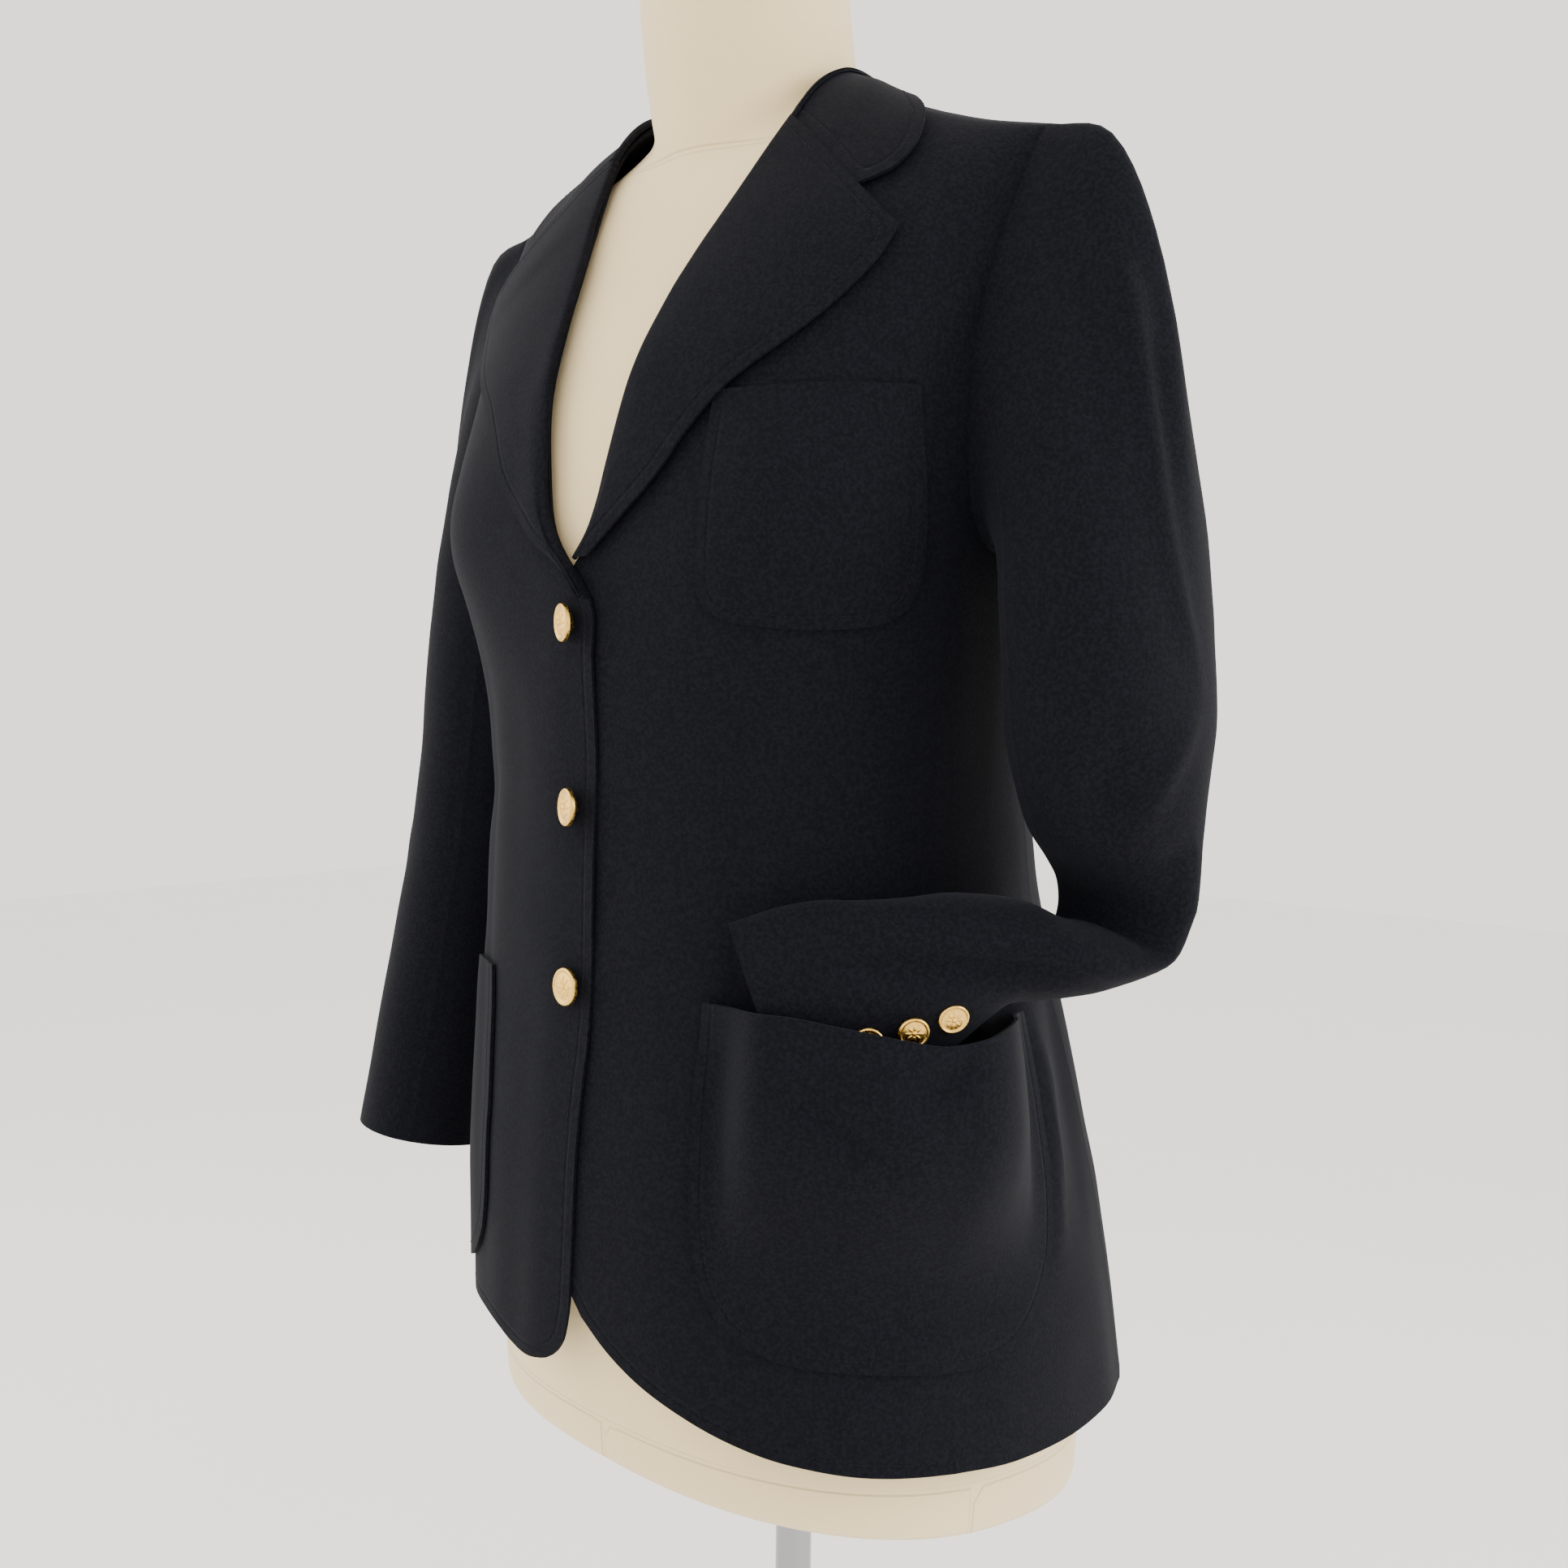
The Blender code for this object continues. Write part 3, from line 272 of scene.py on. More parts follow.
BACK_SEAM = (
    # height, degrees round
    (0.64, 119.0),
    (0.74, 117.0),
    (0.86, 112.0),
    (0.98, 106.0),
    (1.06, 106.0),
    (1.15, 108.0),
)
ARMHOLE_FRONT = (
    # degrees round, height, from the shoulder point to under the arm
    (77.5, 1.3100),
    (76.0, 1.2700),
    (75.5, 1.2200),
    (77.0, 1.1700),
    (80.5, 1.1400),
    (86.0, 1.1260),
    (94.0, 1.1220),
)
ARMHOLE_BACK = (
    (103.0, 1.3100),
    (106.0, 1.2700),
    (109.0, 1.2200),
    (110.5, 1.1700),
    (108.0, 1.1400),
    (102.0, 1.1260),
    (94.0, 1.1220),
)
SHOULDER_POINT = 78.5
ARMHOLE_CELLS, SIDE_TOP_CELLS = 12, 2
SIDE_SHARE = 1 - SIDE_TOP_CELLS / ARMHOLE_CELLS
NECK_SIDE = 16.5
GORGE_IN, GORGE_OUT = (16.8, 0.0750), (37.3, 0.0995)
NECK_FRONT = (16.6, 0.0350)
ROLL_TOP = 1.335
# A height and the way down to it add up to about this beside the arm
SEAM_TOP = 1.42

# %% Lines in even steps, and grids between four lines
def along(points, count, metric=(PER_DEGREE, 1.0)):
    """count + 1 points at even steps along the smooth line through points."""
    points = np.array(points, float)
    scale = np.array(metric + (1.0,) * (points.shape[1] - 2))
    reach = np.r_[0, np.cumsum(np.linalg.norm(np.diff(points * scale, axis=0), axis=1))]
    table = np.column_stack([reach, points])
    fine = rows_at(np.linspace(0, reach[-1], 400), table)
    run = np.r_[0, np.cumsum(np.linalg.norm(np.diff(fine * scale, axis=0), axis=1))]
    even = np.linspace(0, run[-1], count + 1)
    return np.stack([np.interp(even, run, fine[:, i]) for i in range(points.shape[1])], -1)


def joined(first, second, first_steps, second_steps):
    """Two lines that meet, each in even steps of its own, as one line with its corner kept."""
    return np.concatenate([along(first, first_steps)[:-1], along(second, second_steps)])


def cut_of(line):
    """(around, height) rows made (around, down) rows."""
    line = np.asarray(line, float)
    return np.stack([line[..., 0], down_at(line[..., 0], line[..., 1])], -1)


def cut_of_x(line):
    """(x, height) rows of the front made (around, down) rows."""
    line = np.asarray(line, float)
    around = around_at(line[..., 0], line[..., 1])
    return cut_of(np.stack([around, line[..., 1]], -1))


def spread(left, right, bottom, top):
    """A cut's grid of (around, down), filled in evenly between its four edges."""
    rows, cols = len(left), len(bottom)
    v = np.linspace(0, 1, rows)[:, None, None]
    u = np.linspace(0, 1, cols)[None, :, None]
    across = left[:, None] * (1 - u) + right[:, None] * u
    upward = bottom[None] * (1 - v) + top[None] * v
    corners = (
        left[0] * (1 - u) * (1 - v)
        + right[0] * u * (1 - v)
        + left[-1] * (1 - u) * v
        + right[-1] * u * v
    )
    return across + upward - corners


def armhole(side, share):
    """(around, down) on the armhole, from the shoulder point at share 0 to under the arm at 1."""
    table, point = (
        (ARMHOLE_FRONT, SHOULDER_POINT) if side == "front" else (ARMHOLE_BACK, 180 - SHOULDER_POINT)
    )
    line = np.concatenate([[[point, 2 * SEAM]], cut_of(table)])
    even = along(line, 200)
    share = np.asarray(share, float) * 200
    return np.stack([np.interp(share, np.arange(201), even[:, i]) for i in range(2)], -1)


def seam_line(table, bottom, top, count, shift):
    """A seam in even steps from the hem at bottom to the armhole's point top."""
    low, high = bottom[1], top[1]
    heights = np.linspace(0, 1, count + 1)
    down = low + (high - low) * heights
    guess = rows_at(SEAM_TOP - down, table)[:, 0]
    ends = bottom[0] * (1 - heights) + top[0] * heights
    line = rows_at(np.array([SEAM_TOP - low, SEAM_TOP - high]), table)[:, 0]
    drift = ends - (line[0] * (1 - heights) + line[1] * heights)
    return np.stack([guess + drift + shift, down], -1)


def hem_cut(table, first, last, count):
    """The hem between two angles."""
    between = [row for row in table if first < row[0] < last]
    ends = rows_at(np.array([first, last]), table)[:, 0]
    return cut_of(along([(first, ends[0]), *between, (last, ends[1])], count))

# %% Cut the fronts, side panels and backs
SEAM_TURN = math.degrees(SEAM / GIRTH_R)
FRONT_CELLS, BACK_CELLS, NECK_CELLS, NECK_ROWS = 11, 9, 3, 3
LOW_ROWS, HIGH_ROWS = 14, ARMHOLE_CELLS - SIDE_TOP_CELLS
SIDE_CELLS = 2 * SIDE_TOP_CELLS


def front_cut(side):
    """A front, from its round hem corner up to the shoulder, cut along the lapel's roll line."""
    edge = along(FRONT_EDGES[side], LOW_ROWS, (1.0, 1.0))
    roll = [*cut_of_x([row for row in ROLL_LINE if row[1] < ROLL_TOP]), GORGE_IN]
    neck = [GORGE_IN, NECK_FRONT, (NECK_SIDE, 2 * SEAM)]
    upper = joined(roll, neck, HIGH_ROWS - NECK_ROWS, NECK_ROWS)
    inner = np.concatenate([cut_of_x(edge[:-1]), upper])
    hem_table = CORNER_HEMS[side] + HEM
    hem = hem_cut(hem_table, hem_table[0][0], SIDE_SEAM[0][1], FRONT_CELLS)
    hem[0] = inner[0]
    split = armhole("front", SIDE_SHARE)
    low = seam_line(SIDE_SEAM, hem[-1], split, LOW_ROWS, -SEAM_TURN)
    high = armhole("front", np.linspace(SIDE_SHARE, 0, HIGH_ROWS + 1))
    outer = np.concatenate([low[:-1], high])
    hem[-1] = outer[0]
    return spread(inner, outer, hem, np.linspace(inner[-1], outer[-1], FRONT_CELLS + 1))


def side_cut():
    """The panel under the arm, between the front and the back."""
    hem = hem_cut(HEM, SIDE_SEAM[0][1], BACK_SEAM[0][1], SIDE_CELLS)
    shares = np.linspace(SIDE_SHARE, 2 - SIDE_SHARE, SIDE_CELLS + 1)
    front, back = armhole("front", np.minimum(shares, 1)), armhole("back", np.minimum(2 - shares, 1))
    top = np.where(shares[:, None] <= 1, front, back)
    left = seam_line(SIDE_SEAM, hem[0], top[0], LOW_ROWS, SEAM_TURN)
    right = seam_line(BACK_SEAM, hem[-1], top[-1], LOW_ROWS, -SEAM_TURN)
    hem[[0, -1]], top[[0, -1]] = (left[0], right[0]), (left[-1], right[-1])
    return spread(left, right, hem, top)


NECKLINE = (
    # degrees from the middle, way down the back, from the shoulder to the nape
    (NECK_SIDE, 2 * SEAM),
    (14.8, 0.0200),
    (11.5, 0.0450),
    (6.0, 0.0700),
    (0.0, 0.0825),
)


def back_cut():
    """A back, from the seam beside the side panel to the centre back seam."""
    hem = hem_cut(HEM, BACK_SEAM[0][1], 180.0, BACK_CELLS)
    low = seam_line(BACK_SEAM, hem[0], armhole("back", SIDE_SHARE), LOW_ROWS, SEAM_TURN)
    high = armhole("back", np.linspace(SIDE_SHARE, 0, HIGH_ROWS + 1))
    outer = np.concatenate([low[:-1], high])
    neck = along(NECKLINE, NECK_CELLS)
    neck[:, 0] = 180 - neck[:, 0]
    neck[-1, 0] -= math.degrees(SEAM / TORSO[-1][3])
    rows = LOW_ROWS + HIGH_ROWS
    centre = np.linspace([neck[-1, 0], hem[-1, 1]], neck[-1], rows + 1)
    hem[[0, -1]] = outer[0], centre[0]
    shoulder = np.linspace(outer[-1], neck[0], BACK_CELLS - NECK_CELLS + 1)
    return spread(outer, centre, hem, np.concatenate([shoulder[:-1], neck]))


print("front cut:", front_cut("left").shape, "back cut:", back_cut().shape)

# %% The lap of the right front, and places over the shoulders
LAP_FADES, LAP_WIDE = 0.050, 0.030
DRAWN_IN, DRAWN_FROM, DRAWN_TALL = 0.012, 0.880, 0.200


def lift_at(side, cut):
    """How far the cloth stands out of the torso, at rows of (around, down).

    The right front laps over the left one, and the right side hangs closer in at the hem.
    """
    place = torso(cut[..., 0], cut[..., 1])
    if side == "left":
        return np.zeros_like(place[..., 0])
    lap = (CLOTH + LAYER_GAP) * smooth((LAP_FADES - place[..., 0]) / LAP_WIDE)
    lap *= cut[..., 0] < 90.0
    aside = np.sin(np.radians(np.clip(cut[..., 0], 0, 180))) ** 2
    return lap - DRAWN_IN * aside * smooth((DRAWN_FROM - place[..., 2]) / DRAWN_TALL)


# The yoke's places are (degrees from the middle, way down), negative down the back
def yoke(place):
    """Points over the shoulders, and the way out there."""
    behind = place[..., 1] < 0
    around = np.where(behind, 180 - place[..., 0], place[..., 0])
    down = np.abs(place[..., 1])
    return torso(around, down), torso_normal(around, down)

# %% [markdown]
# ## Lapels and collar
# The lapel is the front turned back on itself along the roll line. Only its turned part is a
# piece here. The collar stands up at the neck, folds over and lies down as a leaf.

# %% Lapel shape
LAPEL_EDGE = (
    # degrees round, way down, from the break to the tip
    (3.4, 0.3270),
    (10.0, 0.3010),
    (16.8, 0.2720),
    (22.0, 0.2410),
    (27.5, 0.2130),
    (34.3, 0.1890),
    (40.4, 0.1690),
    (45.6, 0.1480),
    (49.5, 0.1290),
    (50.9, 0.1205),
    (50.3, 0.1150),
)
LAPEL_STARTS = {
    # the roll line's height there, then the outer edge's degrees round and way down
    "left": (1.1190, ((3.4, 0.3270),)),
    "right": (1.0995, ((-3.0, 0.3470), (0.5, 0.3350), (3.4, 0.3270))),
}
ROLL_CLEAR = 0.01
LAPEL_ROWS, GORGE_CELLS, NOTCH_CELLS = 14, 3, 2
ROLLED_EDGE = (
    # step past the roll line and lift, of the face, then the same of the underside
    (-0.0010, 0.0007, 0.0009, 0.0007),
    (-0.0007, 0.0030, 0.0011, 0.0014),
    (0.0022, 0.0046, 0.0026, 0.0026),
)
LEAF_LIFT = (
    # share of the way to the outer edge, lift of the face
    (0.00, 0.0052),
    (0.30, 0.0058),
    (1.00, 0.0050),
)


def lapel_walls(side):
    """The turned-back part of a front: a rolled edge, then a leaf that lies over the chest."""
    start_height, first_points = LAPEL_STARTS[side]
    by_height = [row[::-1] for row in ROLL_LINE]
    ends = [(float(rows_at(h, by_height)[0]), h) for h in (start_height, ROLL_TOP)]
    between = [row for row in ROLL_LINE if start_height < row[1] < ROLL_TOP - ROLL_CLEAR]
    roll = cut_of_x(along([ends[0], *between, ends[1]], LAPEL_ROWS, (1.0, 1.0)))
    edge = along(first_points + LAPEL_EDGE[1:], LAPEL_ROWS)
    roll[-1] = (GORGE_IN[0], GORGE_IN[1] + 3 * SEAM)
    notch = (GORGE_OUT[0], GORGE_OUT[1] + 3 * SEAM)
    top = joined([roll[-1], notch], [notch, edge[-1]], GORGE_CELLS, NOTCH_CELLS)
    leaf = spread(roll, edge, np.linspace(roll[0], edge[0], len(top)), top)
    way = leaf[:, 1] - leaf[:, 0]
    way = way / np.linalg.norm(way * (PER_DEGREE, 1.0), axis=1, keepdims=True)
    faces, undersides = [], []
    for face_step, face_lift, under_step, under_lift in ROLLED_EDGE:
        for walls, step, lift in (
            (faces, face_step, face_lift),
            (undersides, under_step, under_lift),
        ):
            base = leaf[:, 0] + way * step
            walls.append(lifted(base, lift + lift_at(side, base)))
    for i in range(1, leaf.shape[1]):
        base = leaf[:, i]
        lift = rows_at(i / (leaf.shape[1] - 1), LEAF_LIFT)[0] + lift_at(side, base)
        faces.append(lifted(base, lift))
        undersides.append(lifted(base, lift - CLOTH))
    return np.stack(faces, 1), np.stack(undersides, 1)

# %% Collar shape
COLLAR_SEAM = (
    # yoke place of the fold and neck seam, from the gorge round to the nape
    GORGE_IN,
    NECK_FRONT,
    (16.5, 0.0020),
    (16.2, -0.0080),
    (14.8, -0.0200),
    (11.5, -0.0450),
    (6.0, -0.0700),
    (0.0, -0.0825),
)
COLLAR_EDGE = (
    # yoke place of the leaf's edge, from the notch round to the nape
    GORGE_OUT,
    (41.3, 0.0885),
    (43.9, 0.0780),
    (43.5, 0.0660),
    (41.9, 0.0500),
    (38.2, 0.0300),
    (31.5, 0.0080),
    (27.0, -0.0120),
    (22.0, -0.0400),
    (15.0, -0.0700),
    (8.0, -0.0900),
    (0.0, -0.0965),
)
STAND = (
    # share of the way round to the nape, height of the stand, how upright it is
    (0.00, 0.0005, 0.0),
    (0.25, 0.0007, 0.1),
    (0.45, 0.0020, 0.3),
    (0.70, 0.0090, 0.8),
    (1.00, 0.0212, 1.0),
)
COLLAR_CELLS, LEAF_CELLS, FOLD_CELLS = 13, 4, 4
FOLD_R, FOOT_LIFT = 0.0019, 0.0013
NEARBY = 0.05
LEAF_FROM, LEAF_HIGH, LEAF_LOW = 0.12, 0.0046, 0.0038
UPRIGHT = np.array([0.0, -0.12, 1.0])


def collar_middle():
    """The middle of the collar's wall from the nape to one gorge: stand, fold, then leaf."""
    seam = along(COLLAR_SEAM, COLLAR_CELLS)
    edge = along(COLLAR_EDGE, COLLAR_CELLS)
    foot, out = yoke(seam)
    nearby, _ = yoke(seam + (edge - seam) * NEARBY)
    sheet = np.stack([rows_at(k / COLLAR_CELLS, STAND) for k in range(COLLAR_CELLS + 1)])
    height, upright = sheet[:, :1], sheet[:, 1:]
    rise = out * (1 - upright) + UPRIGHT * upright
    rise /= np.linalg.norm(rise, axis=1, keepdims=True)
    away = (nearby - foot) / np.linalg.norm(nearby - foot, axis=1, keepdims=True) + out * upright
    away -= rise * (away * rise).sum(1, keepdims=True)
    away /= np.linalg.norm(away, axis=1, keepdims=True)
    low = foot + rise * FOOT_LIFT
    columns = [low, low + rise * height * 0.5]
    top = low + rise * height
    for k in range(FOLD_CELLS + 1):
        turn = math.pi * k / FOLD_CELLS
        columns.append(top + FOLD_R * (away * (1 - math.cos(turn)) + rise * math.sin(turn)))
    for share in np.linspace(0, 1, LEAF_CELLS + 1)[1:]:
        point, way = yoke(seam + (edge - seam) * (LEAF_FROM + (1 - LEAF_FROM) * share))
        columns.append(point + way * (LEAF_HIGH + (LEAF_LOW - LEAF_HIGH) * share))
    half = np.stack(columns, 1)
    other = half[:-1][::-1] * (-1.0, 1.0, 1.0)
    return np.concatenate([half, other])

# %% [markdown]
# ## Sleeves
# A two-piece sleeve is a bent tube. Its rings follow a middle line, and near the top they blend
# over the cap into the armhole. The left sleeve bends at the elbow, and its cuff is tucked into
# the hip pocket. The right one hangs.

# %% Sleeve shape
# Sleeves. Each ring's points run from the outer side to the front, the inner side and the back
RING = 2 * ARMHOLE_CELLS
FRONT_SEAM, BACK_SEAM_AT = 8, 17
CAP_ROWS, TUBE_ROWS = 5, {"left": 17, "right": 11}
FINE_STEPS, BEND_PASSES = 600, 220
CAP_OUT, CAP_SIDEWAYS = 0.35, 0.9
SLEEVES = {
    # x, y, height, half thickness outwards, half thickness forwards, heading in degrees
    "left": (
        (0.2300, -0.0440, 1.1000, 0.0480, 0.0620, 0),
        (0.2330, -0.0420, 1.0400, 0.0500, 0.0570, 0),
        (0.2330, -0.0350, 0.9950, 0.0455, 0.0430, -2),
        (0.2335, -0.0250, 0.9650, 0.0420, 0.0225, -3),
        (0.2305, -0.0215, 0.9400, 0.0390, 0.0150, -4),
        (0.2260, -0.0290, 0.9245, 0.0390, 0.0150, -5),
        (0.2135, -0.0560, 0.9215, 0.0385, 0.0200, -8),
        (0.1960, -0.0865, 0.9270, 0.0300, 0.0285, -14),
        (0.1800, -0.1110, 0.9180, 0.0225, 0.0385, -24),
        (0.1600, -0.1345, 0.9055, 0.0170, 0.0500, -35),
        (0.1380, -0.1538, 0.8955, 0.0130, 0.0560, -47),
        (0.1195, -0.1660, 0.8870, 0.0108, 0.0560, -55),
    ),
    "right": (
        (0.2200, -0.0340, 1.1000, 0.0500, 0.0600, 0),
        (0.2280, -0.0480, 0.9500, 0.0460, 0.0590, -3),
        (0.2360, -0.0600, 0.8850, 0.0440, 0.0570, -8),
        (0.2540, -0.0780, 0.7570, 0.0420, 0.0550, -12),
    ),
}
CAP_PULL = (
    # share of the way from the top to under the arm, pull out of the armhole, pull along the arm
    (0.00, 0.215, 0.137),
    (0.25, 0.095, 0.135),
    (0.50, 0.085, 0.110),
    (0.75, 0.050, 0.045),
    (1.00, 0.034, 0.006),
)


def tube_rings(side):
    """The sleeve below the arm's pit: rings round its middle line, and the way along it."""
    table = np.array(SLEEVES[side], float)
    reach = np.r_[0, np.cumsum(np.linalg.norm(np.diff(table[:, :3], axis=0), axis=1))]
    fine = rows_at(np.linspace(0, reach[-1], FINE_STEPS), np.column_stack([reach, table]))
    for _ in range(BEND_PASSES):
        fine[1:-1, :3] = (fine[:-2, :3] + fine[1:-1, :3] * 2 + fine[2:, :3]) / 4
    ahead = np.gradient(fine[:, :3], axis=0)
    ahead[0] = (0.0, 0.0, -1.0)
    even = np.linspace(0, FINE_STEPS - 1, TUBE_ROWS[side] + 1).round().astype(int)
    middle, thick, forward, heading = fine[even, :3], fine[even, 3], fine[even, 4], fine[even, 5]
    ahead = ahead[even] / np.linalg.norm(ahead[even], axis=1, keepdims=True)
    turn = np.radians(heading)
    outward = np.stack([np.cos(turn), np.sin(turn), 0 * turn], -1)
    outward -= ahead * (outward * ahead).sum(1, keepdims=True)
    outward /= np.linalg.norm(outward, axis=1, keepdims=True)
    frontward = np.cross(ahead, outward)
    angle = np.arange(RING) * 2 * math.pi / RING
    rings = (
        middle[:, None]
        + (thick[:, None] * np.cos(angle))[..., None] * outward[:, None]
        + (forward[:, None] * np.sin(angle))[..., None] * frontward[:, None]
    )
    return rings, ahead[0]


def sleeve_rings(side):
    """The whole sleeve, from its seam at the armhole over the cap and down to the cuff."""
    tube, down_arm = tube_rings(side)
    index = np.arange(RING)
    share = np.minimum(index, RING - index) / (RING / 2)
    in_front = index <= RING / 2
    places = np.where(in_front[:, None], armhole("front", share), armhole("back", share))
    start, out = torso(places[:, 0], places[:, 1]), torso_normal(places[:, 0], places[:, 1])
    away = np.cross(out, np.roll(start, -1, axis=0) - np.roll(start, 1, axis=0))
    start += away / np.linalg.norm(away, axis=1, keepdims=True) * 3 * SEAM
    way_out = out * CAP_OUT + np.array([CAP_SIDEWAYS, 0.0, 0.0])
    way_out /= np.linalg.norm(way_out, axis=1, keepdims=True)
    pull = np.stack([rows_at(part, CAP_PULL) for part in share])
    t = np.linspace(0, 1, CAP_ROWS + 1)[:-1, None, None]
    cap = (
        (2 * t**3 - 3 * t**2 + 1) * start
        + (t**3 - 2 * t**2 + t) * way_out * pull[:, :1]
        + (3 * t**2 - 2 * t**3) * tube[0]
        + (t**3 - t**2) * down_arm * pull[:, 1:]
    )
    return np.concatenate([cap, tube])


def ways_out(grid, closed):
    """The way out of a grid of points, at each of them."""
    around = np.concatenate([grid[:, -1:], grid, grid[:, :1]], 1) if closed else grid
    across = np.gradient(around, axis=1)
    across = across[:, 1:-1] if closed else across
    way = np.cross(across, np.gradient(grid, axis=0))
    return way / np.linalg.norm(way, axis=-1, keepdims=True)


def sleeve_walls(side, first, last):
    """The strip of a sleeve between two of its seams, as its face and its inner side."""
    rings = sleeve_rings(side)
    inner = rings - ways_out(rings, True) * CLOTH
    columns = np.arange(first, last + 1)
    walls = [rings[:, columns % RING], inner[:, columns % RING]]
    for wall in walls:
        for end, beside in ((0, 1), (-1, -2)):
            way = wall[:, beside] - wall[:, end]
            wall[:, end] += way / np.linalg.norm(way, axis=1, keepdims=True) * SEAM
    return walls

# %% [markdown]
# ## Patch pockets
# A patch pocket is a flat piece laid on the front. The tucked cuff pushes the left one out, and
# a table says how far at each angle.

# %% Pocket shapes
# Patch pockets: each side runs from the middle of a round bottom corner up to the mouth
CHEST_POCKET = {
    "inner": ((27.2, 1.0925), (25.6, 1.1010), (25.2, 1.1150), (24.8, 1.1500), (24.4, 1.1990)),
    "bottom": (
        (27.2, 1.0925),
        (30.0, 1.0875),
        (34.0, 1.0855),
        (45.0, 1.0830),
        (58.0, 1.0845),
        (63.5, 1.0880),
        (66.6, 1.0940),
    ),
    "outer": ((66.6, 1.0940), (68.3, 1.1030), (68.6, 1.1150), (66.8, 1.1500), (63.5, 1.2020)),
    "mouth": ((24.4, 1.1990), (44.0, 1.2010), (63.5, 1.2020)),
}
HIP_POCKET = {
    "inner": (
        (25.2, 0.7460),
        (23.6, 0.7630),
        (23.0, 0.7950),
        (23.6, 0.8400),
        (26.0, 0.8960),
    ),
    "bottom": (
        (25.2, 0.7460),
        (27.5, 0.7355),
        (32.0, 0.7245),
        (37.5, 0.7180),
        (52.7, 0.7120),
        (72.6, 0.7080),
        (80.0, 0.7120),
        (86.0, 0.7265),
    ),
    "outer": (
        (86.0, 0.7265),
        (89.0, 0.7400),
        (91.5, 0.7650),
        (92.7, 0.8000),
        (92.8, 0.8340),
        (91.3, 0.8840),
    ),
    "mouth": (
        (26.0, 0.8960),
        (38.0, 0.8960),
        (54.0, 0.8870),
        (65.0, 0.8790),
        (78.0, 0.8850),
        (91.3, 0.8840),
    ),
}
POCKET_CELLS = {"chest": (8, 8), "hip": (12, 10)}
CUFF_BULGE = (
    # degrees round, how far the cuff in the left hip pocket holds its mouth off
    (23.0, 0.0000),
    (29.0, 0.0030),
    (35.5, 0.0265),
    (46.0, 0.0350),
    (54.0, 0.0430),
    (62.0, 0.0455),
    (70.0, 0.0480),
    (76.0, 0.0390),
    (82.0, 0.0230),
    (88.0, 0.0060),
    (93.0, 0.0000),
)
BULGE_FROM, BULGE_TO = 0.735, 0.845


def pocket_cut(outline, cells):
    """A patch pocket's grid on the torso."""
    columns, rows = cells
    left, right = cut_of(along(outline["inner"], rows)), cut_of(along(outline["outer"], rows))
    bottom, top = cut_of(along(outline["bottom"], columns)), cut_of(along(outline["mouth"], columns))
    return spread(left, right, bottom, top)


def pocket_lift(kind, side, cut):
    """How far a pocket's face stands out of the torso."""
    lift = lift_at(side, cut) + CLOTH + LAYER_GAP
    if (kind, side) == ("hip", "left"):
        height = torso(cut[..., 0], cut[..., 1])[..., 2]
        bulge = rows_at(cut[..., 0], CUFF_BULGE)[..., 0]
        lift += bulge * smooth((height - BULGE_FROM) / (BULGE_TO - BULGE_FROM))
    return lift

# %% Dress form shape
# The dress form
FORM_SINK, FORM_SLACK = 0.0057, 0.0048
FORM_BOTTOM = 0.617
NECK_MIDDLE, NECK_LEAN, LEAN_FROM = -0.050, -0.16, 1.36
NECK_FROM, NECK_BLEND = 1.26, 0.0015
TORSO_TOP = TORSO[-1][0]
HIP_TILT = (-0.089, -0.115)
LEVEL_FROM, LEVEL_TALL = 0.74, 0.123
FORM_POINTS = 32
FORM_HEIGHTS = (
    0.617, 0.64, 0.68, 0.74, 0.81, 0.88, 0.95, 1.02, 1.08, 1.12, 1.16, 1.20, 1.24, 1.27,
    1.295, 1.315, 1.33, 1.343, 1.355, 1.367, 1.38, 1.40, 1.44, 1.475,
)
NECK_R = (
    # height, radius of the neck
    (1.20, 0.0400),
    (1.33, 0.0520),
    (1.36, 0.0575),
    (1.40, 0.0592),
    (1.475, 0.0570),
)
HIP_SLACK = (
    # height, how far the cloth flares off the form
    (0.617, 0.023),
    (0.70, 0.017),
    (0.80, 0.010),
    (0.90, 0.005),
    (1.05, 0.001),
    (1.20, 0.000),
)


